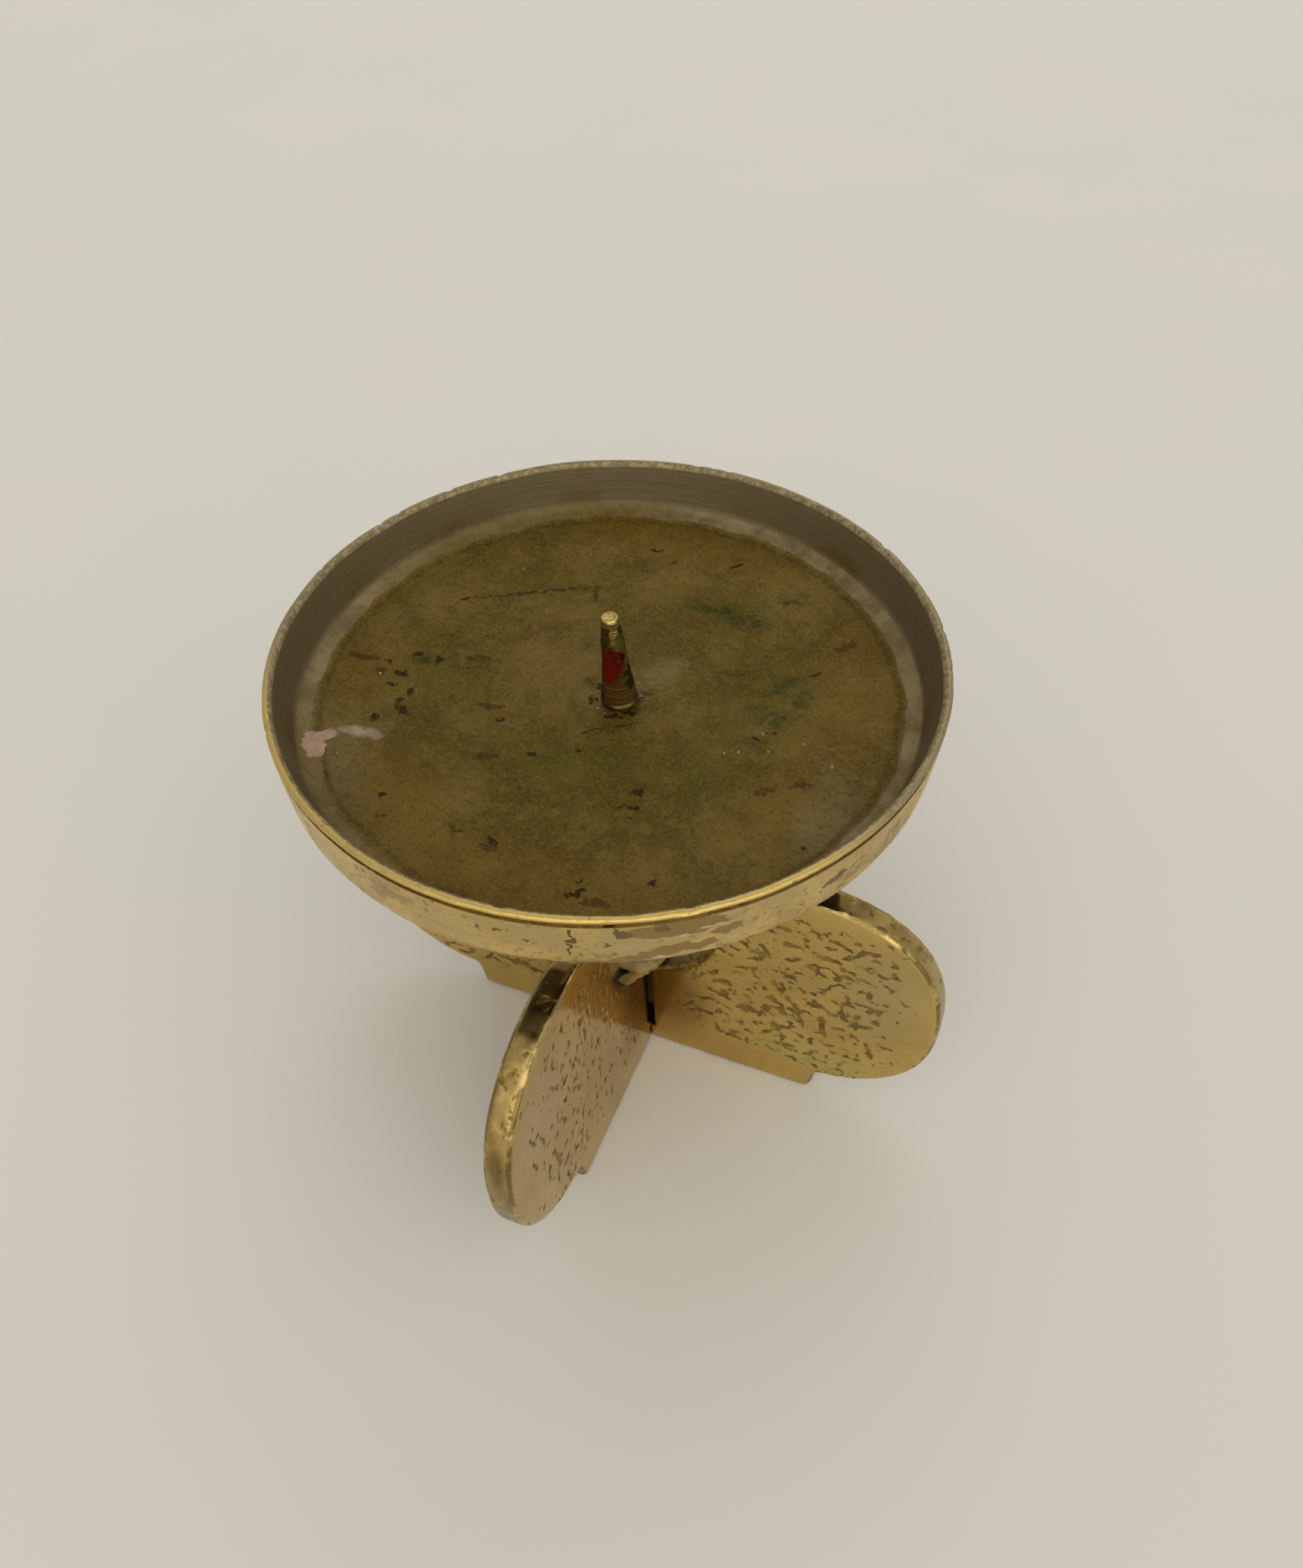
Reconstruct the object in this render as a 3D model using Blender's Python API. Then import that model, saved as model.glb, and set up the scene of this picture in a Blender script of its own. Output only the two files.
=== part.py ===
"""Pricket candle holder: a shallow brass dish with a spike, on a stem that stands in the
crossing of two halved base plates. Metres, +Z up, origin on the ground at the crossing."""

import math

import bmesh
import bpy
from mathutils import Euler, Matrix, Vector

# Driving dimensions ---------------------------------------------------------------------
GAP = 0.0003                    # clearance between neighbouring pieces

DISH_RADIUS = 0.050             # outside radius of the rim
RIM_HEIGHT = 0.0975             # centre of the rim above the ground
RIM_WIDTH = 0.0015
DISH_DEPTH = 0.0115             # rim to underside
DISH_CENTRE = (-0.0005, -0.0002)
DISH_LEAN = (math.radians(0.2), math.radians(3.0))   # about X and Y: the dish sits a little askew
WALL_FOOT_RADIUS = 0.0468       # where the inner wall meets the fillet ring
WALL_FOOT_DEPTH = 0.0072
FLOOR_RADIUS = 0.0442
FLOOR_EDGE_DEPTH = 0.0080
FLOOR_DEPTH = 0.0095            # the middle of the floor lies lower than its edge
FLOOR_FLAT_RADIUS = 0.0220      # and is flat out to here
SPOT_FACE_RADIUS = 0.0055       # turned a touch deeper, as a seat for the spike's shoulder
SPOT_FACE_DEPTH = 0.0001
CORNER_RADIUS = 0.0042          # rounded lower edge of the dish
DISH_FOOT_RADIUS = 0.0493       # the outer wall draws in slightly towards that edge
DISH_SEGMENTS = 72

PLATE_THICKNESS = 0.0050
PETAL_CENTRE = (0.0318, 0.0305)  # from the crossing's axis, and above the ground
PETAL_RADIUS = 0.0250
PETAL_POWER_LOW = 2.25          # roundness of the lower and the fuller upper half
PETAL_POWER_HIGH = 2.32
PETAL_START = -82               # degrees: where the petal leaves the foot
PETAL_STEPS = 18
FOOT_REACH = 0.0349             # half length of the straight ground edge
VALLEY_RADIUS = 0.0160          # round saddle between two petals
VALLEY_CENTRE_HEIGHT = 0.0395
CROSSING_ANGLE = math.radians(-89.2)   # the cross plate is not quite square to the long one
BRIDGE_HEIGHT = 0.0042          # what is left of the long plate under its slot
SLOT_SLACK = 0.0009             # the slot is wider than the plate in it, on one side
ARRIS = 0.0008                  # rounding of the plates' long edges

STEM_RADIUS = 0.0040
STEM_FLARE_RADIUS = 0.0090
STEM_FLARE_HEIGHT = 0.0075
STEM_FLANGE_THICKNESS = 0.0016
PRICKET_FOOT = (0.0006, -0.0006, 0.0881)
PRICKET_TIP = (0.0003, -0.0011, 0.1045)
PRICKET_FOOT_RADIUS = 0.00285
PRICKET_TIP_RADIUS = 0.0013
SHANK_RADIUS = 0.0020
SHANK_LENGTH = 0.0110
SOLDER_INNER = 0.00435
SOLDER_OUTER = 0.0064
SOLDER_HEIGHT = 0.0022


# Shared making --------------------------------------------------------------------------
def make_material(name, colour, roughness, metallic):
    material = bpy.data.materials.new(name)
    material.use_nodes = True
    shader = material.node_tree.nodes["Principled BSDF"]
    shader.inputs["Base Color"].default_value = (*colour, 1.0)
    shader.inputs["Roughness"].default_value = roughness
    shader.inputs["Metallic"].default_value = metallic
    return material


def add_object(name, mesh_builder, material):
    mesh = bpy.data.meshes.new(name)
    mesh_builder.to_mesh(mesh)
    mesh_builder.free()
    mesh.materials.append(material)
    thing = bpy.data.objects.new(name, mesh)
    bpy.context.scene.collection.objects.link(thing)
    return thing


def turned(profile, segments):
    """A body of revolution about Z from (radius, height) points."""
    builder = bmesh.new()
    verts = [builder.verts.new((radius, 0.0, height)) for radius, height in profile]
    edges = [builder.edges.new(pair) for pair in zip(verts, verts[1:])]
    if profile[0][0] > 0.0:
        edges.append(builder.edges.new((verts[-1], verts[0])))
    bmesh.ops.spin(
        builder, geom=verts + edges, axis=(0, 0, 1), cent=(0, 0, 0),
        steps=segments, angle=math.tau, use_merge=True,
    )
    bmesh.ops.remove_doubles(builder, verts=builder.verts, dist=1e-6)
    bmesh.ops.recalc_face_normals(builder, faces=builder.faces)
    return builder


def shade(thing):
    thing.data.shade_smooth()
    thing.data.set_sharp_from_angle(angle=math.radians(35))


def arc(centre, radius, start, end, steps):
    """Points on an arc from angle start to angle end, in degrees."""
    points = []
    for step in range(steps + 1):
        angle = math.radians(start + (end - start) * step / steps)
        points.append((centre[0] + radius * math.cos(angle), centre[1] + radius * math.sin(angle)))
    return points


def cut(thing, cutter_name, cutter_builder, matrix):
    """Cut a closed tool out of a piece with an exact Boolean; the tool stays as a wire guide."""
    mesh = bpy.data.meshes.new(cutter_name)
    cutter_builder.to_mesh(mesh)
    cutter_builder.free()
    cutter = bpy.data.objects.new(cutter_name, mesh)
    cutter.matrix_world = matrix
    cutter.hide_render = True
    cutter.display_type = "WIRE"
    bpy.context.scene.collection.objects.link(cutter)
    modifier = thing.modifiers.new(cutter_name, "BOOLEAN")
    modifier.operation = "DIFFERENCE"
    modifier.solver = "EXACT"
    modifier.object = cutter


def block(low, high):
    builder = bmesh.new()
    bmesh.ops.create_cube(builder, size=1.0)
    size = [high[axis] - low[axis] for axis in range(3)]
    middle = [(high[axis] + low[axis]) / 2 for axis in range(3)]
    bmesh.ops.scale(builder, vec=size, verts=builder.verts)
    bmesh.ops.translate(builder, vec=middle, verts=builder.verts)
    return builder


# Base plates ----------------------------------------------------------------------------
def petal_point(angle):
    """A point of one petal's outer outline, on a superellipse; 0 degrees points outwards."""
    power = PETAL_POWER_HIGH if angle >= 0 else PETAL_POWER_LOW
    radians = math.radians(angle)
    across = abs(math.cos(radians)) ** (2 / power)
    up = math.copysign(abs(math.sin(radians)) ** (2 / power), angle)
    return PETAL_CENTRE[0] + PETAL_RADIUS * across, PETAL_CENTRE[1] + PETAL_RADIUS * up


def half_outline():
    """One half of a plate's outline, from the ground at the axis, round, to the saddle."""
    points = [(0.0, 0.0), (FOOT_REACH, 0.0)]
    sweep = (90 - PETAL_START) / PETAL_STEPS
    points += [petal_point(PETAL_START + sweep * step) for step in range(PETAL_STEPS + 1)]
    shoulder_radius = PETAL_CENTRE[0] - VALLEY_RADIUS
    shoulder_centre = (PETAL_CENTRE[0], PETAL_CENTRE[1] + PETAL_RADIUS - shoulder_radius)
    points += arc(shoulder_centre, shoulder_radius, 90, 180, 9)[1:]
    points += arc((0.0, VALLEY_CENTRE_HEIGHT), VALLEY_RADIUS, 0, -90, 9)[1:]
    return points


def make_plate(name, material):
    """A plate in the XZ plane, cut from 5 mm cast brass."""
    right = half_outline()
    left = [(-across, up) for across, up in reversed(right[1:-1])]
    builder = bmesh.new()
    verts = [builder.verts.new((across, -PLATE_THICKNESS / 2, up)) for across, up in right + left]
    face = builder.faces.new(verts)
    swept = bmesh.ops.extrude_face_region(builder, geom=[face])["geom"]
    swept_verts = [part for part in swept if isinstance(part, bmesh.types.BMVert)]
    bmesh.ops.translate(builder, vec=(0, PLATE_THICKNESS, 0), verts=swept_verts)
    bmesh.ops.recalc_face_normals(builder, faces=builder.faces)
    plate = add_object(name, builder, material)
    shade(plate)
    bevel = plate.modifiers.new("arrises", "BEVEL")
    bevel.width = ARRIS
    bevel.segments = 2
    bevel.limit_method = "ANGLE"
    bevel.angle_limit = math.radians(40)
    return plate


def make_base():
    brass = make_material("plate_brass", (0.66, 0.50, 0.24), 0.38, 1.0)
    reach = PETAL_RADIUS + PETAL_CENTRE[0]
    half = PLATE_THICKNESS / 2

    long_plate = make_plate("long_plate", brass)
    slot = block((-half - GAP, -reach, BRIDGE_HEIGHT), (half + SLOT_SLACK, reach, reach))
    cut(long_plate, "long_plate_slot", slot, Matrix.Identity(4))

    cross_plate = make_plate("cross_plate", brass)
    cross_plate.rotation_euler = (0, 0, CROSSING_ANGLE)
    notch = block((-reach, -half - GAP, -reach), (reach, half + GAP, BRIDGE_HEIGHT + GAP))
    cut(cross_plate, "cross_plate_notch", notch, Matrix.Identity(4))


# Dish -----------------------------------------------------------------------------------
def dish_matrix():
    lean = Euler((DISH_LEAN[0], DISH_LEAN[1], 0)).to_matrix().to_4x4()
    return Matrix.Translation((*DISH_CENTRE, RIM_HEIGHT)) @ lean


def make_dish(axis_matrix):
    brass = make_material("dish_brass", (0.55, 0.42, 0.20), 0.45, 1.0)
    lip = 0.0003
    corner = (DISH_FOOT_RADIUS - CORNER_RADIUS, -DISH_DEPTH + CORNER_RADIUS)
    profile = [
        (0.0, -FLOOR_DEPTH - SPOT_FACE_DEPTH),
        (SPOT_FACE_RADIUS, -FLOOR_DEPTH - SPOT_FACE_DEPTH),
        (SPOT_FACE_RADIUS, -FLOOR_DEPTH),
        (FLOOR_FLAT_RADIUS, -FLOOR_DEPTH),
        (FLOOR_RADIUS, -FLOOR_EDGE_DEPTH),
        (WALL_FOOT_RADIUS, -WALL_FOOT_DEPTH),
        (DISH_RADIUS - RIM_WIDTH, -lip),
        (DISH_RADIUS - RIM_WIDTH + lip, 0.0),
        (DISH_RADIUS - lip, 0.0),
        (DISH_RADIUS, -lip),
    ]
    profile += arc(corner, CORNER_RADIUS, 0, -90, 6)
    profile += [(0.0, -DISH_DEPTH)]
    dish = add_object("dish", turned(profile, DISH_SEGMENTS), brass)
    dish.matrix_world = dish_matrix()
    shade(dish)

    hole_radius = SHANK_RADIUS + GAP
    reach = 0.010
    drill = turned([(0.0, reach), (hole_radius, reach), (hole_radius, -reach), (0.0, -reach)], 32)
    cut(dish, "pricket_hole", drill, axis_matrix)


# Stem, pricket and solder ---------------------------------------------------------------
def stem_foot_height():
    """The stem's flat foot clears the saddle's curve at the foot's own edge."""
    drop = math.sqrt(VALLEY_RADIUS ** 2 - STEM_RADIUS ** 2)
    return VALLEY_CENTRE_HEIGHT - drop + GAP


def stem_axis():
    """Frame at the pricket's shoulder, with Z along the stem."""
    foot = Vector((0, 0, stem_foot_height()))
    shoulder = Vector(PRICKET_FOOT)
    turn = (shoulder - foot).to_track_quat("Z", "Y").to_matrix().to_4x4()
    return Matrix.Translation(shoulder) @ turn


def make_stem(axis_matrix):
    brass = make_material("stem_brass", (0.58, 0.44, 0.21), 0.42, 1.0)
    length = (Vector(PRICKET_FOOT) - Vector((0, 0, stem_foot_height()))).length
    flange_top = -DISH_DEPTH + FLOOR_DEPTH
    flange_low = flange_top - STEM_FLANGE_THICKNESS - GAP
    flare = STEM_FLARE_RADIUS - STEM_RADIUS
    profile = [(0.0, flange_top), (STEM_FLARE_RADIUS, flange_top), (STEM_FLARE_RADIUS, flange_low)]
    for step in range(1, 8):
        angle = math.radians(90 * step / 7)
        out = STEM_FLARE_RADIUS - flare * math.sin(angle)
        profile.append((out, flange_low - STEM_FLARE_HEIGHT * (1 - math.cos(angle))))
    profile += [(STEM_RADIUS, -length), (0.0, -length)]
    builder = turned(profile, 40)

    # The flange's top is filed to the dish's lean.
    underside = axis_matrix.inverted() @ dish_matrix()
    point = underside @ Vector((0, 0, -DISH_DEPTH - GAP))
    normal = underside.to_3x3() @ Vector((0, 0, 1))
    cut_away = bmesh.ops.bisect_plane(
        builder, geom=builder.verts[:] + builder.edges[:] + builder.faces[:],
        plane_co=point, plane_no=normal, clear_outer=True,
    )
    rim = [part for part in cut_away["geom_cut"] if isinstance(part, bmesh.types.BMEdge)]
    bmesh.ops.holes_fill(builder, edges=rim)
    bmesh.ops.recalc_face_normals(builder, faces=builder.faces)
    stem = add_object("stem", builder, brass)
    stem.matrix_world = axis_matrix
    shade(stem)

    bore_radius = SHANK_RADIUS + GAP
    bore_floor = -SHANK_LENGTH - 2 * GAP
    mouth = 0.010
    bore_profile = [(0.0, mouth), (bore_radius, mouth), (bore_radius, bore_floor), (0.0, bore_floor)]
    cut(stem, "shank_bore", turned(bore_profile, 32), axis_matrix)


def make_pricket(axis_matrix):
    brass = make_material("pricket_brass", (0.50, 0.36, 0.15), 0.40, 1.0)
    height = (Vector(PRICKET_TIP) - Vector(PRICKET_FOOT)).length
    seat = GAP + 0.0001
    blunt = 0.0003
    profile = [
        (0.0, height),
        (PRICKET_TIP_RADIUS - blunt, height),
        (PRICKET_TIP_RADIUS, height - blunt),
        (PRICKET_FOOT_RADIUS - 0.00015, 0.0014),
        (PRICKET_FOOT_RADIUS, 0.0010),
        (PRICKET_FOOT_RADIUS, seat),
        (SHANK_RADIUS, seat),
        (SHANK_RADIUS, -SHANK_LENGTH),
        (0.0, -SHANK_LENGTH),
    ]
    builder = turned(profile, 32)
    tip = axis_matrix.inverted() @ Vector(PRICKET_TIP)
    for vert in builder.verts:
        if vert.co.z > seat:
            vert.co.x += tip.x * (vert.co.z - seat) / (height - seat)
            vert.co.y += tip.y * (vert.co.z - seat) / (height - seat)
    pricket = add_object("pricket", builder, brass)
    pricket.matrix_world = axis_matrix
    shade(pricket)


def make_solder():
    tin = make_material("solder", (0.42, 0.40, 0.33), 0.6, 1.0)
    drop = math.sqrt(VALLEY_RADIUS ** 2 - SOLDER_OUTER ** 2)
    low = VALLEY_CENTRE_HEIGHT - drop + GAP
    profile = [
        (SOLDER_INNER, low + SOLDER_HEIGHT),
        (SOLDER_INNER + 0.0004, low + SOLDER_HEIGHT),
        (SOLDER_INNER + 0.0009, low + SOLDER_HEIGHT * 0.45),
        (SOLDER_OUTER, low + 0.0004),
        (SOLDER_OUTER, low),
        (SOLDER_INNER, low),
    ]
    ring = add_object("solder_joint", turned(profile, 32), tin)
    shade(ring)


def build():
    for thing in list(bpy.data.objects):
        bpy.data.objects.remove(thing)
    axis_matrix = stem_axis()
    make_base()
    make_dish(axis_matrix)
    make_stem(axis_matrix)
    make_pricket(axis_matrix)
    make_solder()


build()
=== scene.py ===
"""Looks for the brass pricket candle holder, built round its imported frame."""
import math
import random

import bmesh
import bpy
from mathutils import Euler, Matrix, Vector, noise
from mathutils.bvhtree import BVHTree


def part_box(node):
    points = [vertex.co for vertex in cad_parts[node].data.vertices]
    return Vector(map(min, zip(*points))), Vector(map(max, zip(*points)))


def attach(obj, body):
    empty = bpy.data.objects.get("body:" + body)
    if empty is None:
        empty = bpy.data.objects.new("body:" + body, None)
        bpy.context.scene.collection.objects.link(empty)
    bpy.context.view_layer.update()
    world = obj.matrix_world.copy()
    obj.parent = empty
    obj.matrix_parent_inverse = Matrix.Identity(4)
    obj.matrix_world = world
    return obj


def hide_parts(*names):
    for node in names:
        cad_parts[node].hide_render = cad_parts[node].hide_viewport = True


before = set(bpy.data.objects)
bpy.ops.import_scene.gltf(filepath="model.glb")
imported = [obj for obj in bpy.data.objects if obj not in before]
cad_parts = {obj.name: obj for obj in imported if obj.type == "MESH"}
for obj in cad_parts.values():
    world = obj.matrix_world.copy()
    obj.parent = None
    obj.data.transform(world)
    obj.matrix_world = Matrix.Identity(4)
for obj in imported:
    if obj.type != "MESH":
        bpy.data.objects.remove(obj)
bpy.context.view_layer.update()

# The view: held in the hand above the table, looking down at the dish over the front petal.
CAMERA_PLACE = Vector((0.0667, -0.1312, 0.2197))
CAMERA_AZIMUTH = math.radians(25.285)
CAMERA_ELEVATION = math.radians(45.767)
CAMERA_ROLL = math.radians(-3.611)
camera_data = bpy.data.cameras.new("camera")
camera_data.sensor_width = 36.0
camera_data.lens = 36.0 * 1730 / 2100
camera_data.clip_start = 0.01
camera = bpy.data.objects.new("camera", camera_data)
bpy.context.scene.collection.objects.link(camera)
camera.matrix_world = (
    Matrix.Translation(CAMERA_PLACE)
    @ Matrix.Rotation(CAMERA_AZIMUTH, 4, "Z")
    @ Matrix.Rotation(math.pi / 2 - CAMERA_ELEVATION, 4, "X")
    @ Matrix.Rotation(CAMERA_ROLL, 4, "Z")
)
bpy.context.scene.camera = camera
bpy.context.scene.view_settings.view_transform = "Standard"


# The table and the light. The table is one plain pale matt sheet. The room is pale, with a
# soft glow low in front that fills the corner between the petals, and one broad soft window
# high at the back, so the shadow falls forwards and stays faint.
TABLE_COLOUR = (0.775, 0.745, 0.668)
TABLE_SHADE = (0.765, 0.738, 0.664)
TABLE_HALF = 4.0
ROOM_COLOUR = (1.0, 0.985, 0.955)
ROOM_STRENGTH = 0.55
ROOM_DIM_SIDE = 0.74            # how bright the room is in front, against behind
ROOM_BRIGHT_WAY = Vector((-0.15, 0.85, 0.50)).normalized()
FRONT_GLOW = 1.02
FRONT_GLOW_WAY = Vector((0.50, -0.75, 0.42)).normalized()
WINDOW_PLACE = Vector((-0.25, 1.6, 1.9))
WINDOW_SIZE = 1.4
WINDOW_POWER = 3.9


def join(tree, value, socket):
    """Join a node's output to a socket, or set the socket to a plain value."""
    if isinstance(value, bpy.types.NodeSocket):
        tree.links.new(value, socket)
    elif socket.type == "RGBA" and len(value) == 3:
        socket.default_value = (*value, 1.0)
    else:
        socket.default_value = value


def place(tree, kind, sockets=None, **options):
    """Put a node in a tree with its options, and its sockets set or joined."""
    node = tree.nodes.new("ShaderNode" + kind)
    for option, value in options.items():
        setattr(node, option, value)
    for name, value in (sockets or {}).items():
        join(tree, value, node.inputs[name])
    return node


def reckon(tree, operation, *values):
    node = place(tree, "Math", operation=operation)
    for socket, value in zip(node.inputs, values):
        join(tree, value, socket)
    return node.outputs[0]


def times(tree, one, other):
    return reckon(tree, "MULTIPLY", one, other)


def plus(tree, one, other):
    return reckon(tree, "ADD", one, other)


def minus(tree, one, other):
    return reckon(tree, "SUBTRACT", one, other)


def centred(tree, value, reach):
    """A value of 0 to 1 brought to both sides of 0, and stretched."""
    return times(tree, minus(tree, value, 0.5), reach)


def reckon_vector(tree, operation, *values):
    node = place(tree, "VectorMath", operation=operation)
    for socket, value in zip(node.inputs, values):
        join(tree, value, socket)
    return node.outputs


def rise(tree, value, low, high):
    """0 at low, 1 at high, with a soft step between; low may be the larger of the two."""
    limits = {"Value": value, "From Min": low, "From Max": high}
    return place(tree, "MapRange", limits, interpolation_type="SMOOTHSTEP").outputs[0]


def lay(tree, under, colour, mask):
    """Lay a colour over another where the mask says."""
    node = place(tree, "Mix", data_type="RGBA")
    for number, value in ((0, mask), (6, under), (7, colour)):
        join(tree, value, node.inputs[number])
    return node.outputs[2]


def between(tree, low, high, mask):
    """A number that goes from low to high with the mask."""
    node = place(tree, "Mix", data_type="FLOAT")
    for number, value in ((0, mask), (2, low), (3, high)):
        join(tree, value, node.inputs[number])
    return node.outputs[0]


def told(tree, name):
    """A number that the mesh itself holds at each of its points."""
    return place(tree, "Attribute", attribute_name=name).outputs["Fac"]


def grain(tree, point, size, detail=2.0, roughness=0.5):
    """Noise from 0 to 1 with lumps about as wide as the size, in metres."""
    sockets = {"Vector": point, "Scale": 0.5 / size, "Detail": detail, "Roughness": roughness}
    return place(tree, "TexNoise", sockets).outputs[0]


def new_material(name):
    """A material with its tree, its shader's sockets and the object's own coordinates."""
    material = bpy.data.materials.new(name)
    material.use_nodes = True
    tree = material.node_tree
    point = place(tree, "TexCoord").outputs["Object"]
    return material, tree, tree.nodes["Principled BSDF"].inputs, point


def bump(tree, height, depth, strength=1.0):
    """Bump with its depth in metres, from a height of 0 to 1."""
    sockets = {"Height": height, "Distance": depth, "Strength": strength}
    return place(tree, "Bump", sockets).outputs[0]


def add_object(name, builder, material):
    mesh = bpy.data.meshes.new(name)
    builder.to_mesh(mesh)
    builder.free()
    mesh.materials.append(material)
    thing = bpy.data.objects.new(name, mesh)
    bpy.context.scene.collection.objects.link(thing)
    return thing


sheet_paper, tree, shader, point = new_material("table_sheet")
paper_tone = rise(tree, grain(tree, point, 0.05, 3.0), 0.3, 0.7)
join(tree, lay(tree, TABLE_COLOUR, TABLE_SHADE, paper_tone), shader["Base Color"])
shader["Roughness"].default_value = 0.85
shader["Specular IOR Level"].default_value = 0.2
join(tree, bump(tree, grain(tree, point, 0.0006), 0.00002), shader["Normal"])
builder = bmesh.new()
bmesh.ops.create_grid(builder, x_segments=8, y_segments=8, size=TABLE_HALF)
table = add_object("table_sheet", builder, sheet_paper)

room = bpy.data.worlds.new("room")
room.use_nodes = True
bpy.context.scene.world = room
room_light = room.node_tree.nodes["Background"].inputs
room_light["Color"].default_value = (*ROOM_COLOUR, 1.0)
outward = place(room.node_tree, "TexCoord").outputs["Generated"]
facing = []
for direction in (ROOM_BRIGHT_WAY, FRONT_GLOW_WAY):
    facing.append(reckon_vector(room.node_tree, "DOT_PRODUCT", outward, tuple(direction))["Value"])
bright_side = rise(room.node_tree, facing[0], -0.9, 0.9)
glow = between(room.node_tree, ROOM_STRENGTH * ROOM_DIM_SIDE, ROOM_STRENGTH, bright_side)
front = times(room.node_tree, rise(room.node_tree, facing[1], 0.35, 0.95), FRONT_GLOW)
join(room.node_tree, plus(room.node_tree, glow, front), room_light["Strength"])

window_data = bpy.data.lights.new("window", "AREA")
window_data.size = WINDOW_SIZE
window_data.energy = WINDOW_POWER
window_data.color = (1.0, 0.98, 0.94)
window = bpy.data.objects.new("window", window_data)
window.matrix_world = (
    Matrix.Translation(WINDOW_PLACE) @ WINDOW_PLACE.to_track_quat("Z", "Y").to_matrix().to_4x4()
)
bpy.context.scene.collection.objects.link(window)


# The dish: one shallow brass casting, turned inside and on its rim, with a scored line under
# the rim. Its floor has a brown patina with wax, soot and green spots, and its outside is
# bright brass; the front of its rim has a painted gold reflection. It sits a little askew on the stem.
MM = 0.001                      # one millimetre in the frame's metres
DISH_PLACE = (
    Matrix.Translation((-0.0005, -0.0002, 0.0975))
    @ Euler((math.radians(0.2), math.radians(3.0), 0)).to_matrix().to_4x4()
)
DISH_STEPS = 480
FLOOR_EDGE = 44.5               # mm, where the floor meets the pale ring at the wall's foot
SHANK_HOLE = Vector((1.1, -0.4))  # mm, the hole for the spike's shank, off the dish's centre
UNDERSIDE = [(2.3, -11.5), (46.5, -11.5)]
OUTSIDE = [
    (47.25, -11.4), (47.95, -11.08), (48.55, -10.6), (48.98, -10.0), (49.25, -9.25), (49.38, -8.3),
    (49.72, -4.6), (49.88, -2.4), (49.9, -1.32), (49.62, -1.08), (49.62, -0.86), (49.93, -0.68),
    (50.02, -0.46), (49.95, -0.18), (49.7, -0.02), (49.3, 0.03), (48.95, -0.05), (48.7, -0.35),
]
INSIDE = [
    (48.5, -1.2), (47.95, -3.2), (47.4, -5.2), (46.95, -6.7), (46.5, -7.3), (45.6, -7.72),
    (44.6, -7.98), (44.1, -8.2), (43.2, -8.4), (22.0, -9.5), (9.0, -9.52), (6.0, -9.56),
    (3.6, -9.6), (2.3, -9.6),
]


def spaced(points, spacing):
    """The same line with points no further apart than the spacing."""
    line = [points[0]]
    for start, end in zip(points, points[1:]):
        count = max(1, math.ceil(math.dist(start, end) / spacing))
        for step in range(1, count + 1):
            share = step / count
            line.append(tuple(a + (b - a) * share for a, b in zip(start, end)))
    return line


def turned(outline, steps, closed):
    """A body turned about Z from (radius, height) points in mm, with both kept on it."""
    builder = bmesh.new()
    verts = [builder.verts.new((radius * MM, 0.0, height * MM)) for radius, height in outline]
    ends = verts[1:] + verts[:1] if closed else verts[1:]
    edges = [builder.edges.new(pair) for pair in zip(verts, ends)]
    bmesh.ops.spin(
        builder, geom=verts + edges, axis=(0, 0, 1), cent=(0, 0, 0),
        steps=steps, angle=math.tau, use_merge=True,
    )
    bmesh.ops.remove_doubles(builder, verts=builder.verts, dist=1e-6)
    bmesh.ops.recalc_face_normals(builder, faces=builder.faces)
    radius_layer = builder.verts.layers.float.new("radius")
    height_layer = builder.verts.layers.float.new("height")
    for vert in builder.verts:
        vert[radius_layer] = vert.co.xy.length / MM
        vert[height_layer] = vert.co.z / MM
    return builder, radius_layer, height_layer


def wave(point, size, seed):
    """Smooth noise from about -1 to 1 with lumps about as wide as the size, in metres."""
    return noise.noise(Vector(point) / size + Vector((seed, seed * 2.7, seed * 5.3)))


def soft(value, low, high):
    """0 at low, 1 at high, with a soft step between."""
    share = min(1.0, max(0.0, (value - low) / (high - low)))
    return share * share * (3 - 2 * share)


def start_group(name, inputs, outputs):
    """A shared effect: a node group with named sockets."""
    tree = bpy.data.node_groups.new(name, "ShaderNodeTree")
    for sockets, side in ((inputs, "INPUT"), (outputs, "OUTPUT")):
        for socket, kind in sockets.items():
            tree.interface.new_socket(socket, in_out=side, socket_type="NodeSocket" + kind)
    entry = tree.nodes.new("NodeGroupInput").outputs
    leave = tree.nodes.new("NodeGroupOutput").inputs
    return tree, entry, leave


def use(tree, group, **sockets):
    node = tree.nodes.new("ShaderNodeGroup")
    node.node_tree = group
    for name, value in sockets.items():
        join(tree, value, node.inputs[name])
    return node.outputs


# Shared effect: an oval patch at a place on the piece, with a soft or a crisp edge.
patch_group, entry, leave = start_group(
    "patch",
    {"Point": "Vector", "Centre": "Vector", "Reach": "Vector", "Turn": "Float", "Softness": "Float"},
    {"Mask": "Float"},
)
away = reckon_vector(patch_group, "SUBTRACT", entry["Point"], entry["Centre"])[0]
back = times(patch_group, entry["Turn"], -1.0)
spun = place(patch_group, "VectorRotate", {"Vector": away, "Angle": back}, rotation_type="Z_AXIS")
sized = reckon_vector(patch_group, "DIVIDE", spun.outputs[0], entry["Reach"])[0]
length = reckon_vector(patch_group, "LENGTH", sized)["Value"]
near = minus(patch_group, 1.0, entry["Softness"])
far = plus(patch_group, 1.0, entry["Softness"])
join(patch_group, rise(patch_group, length, far, near), leave["Mask"])

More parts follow.
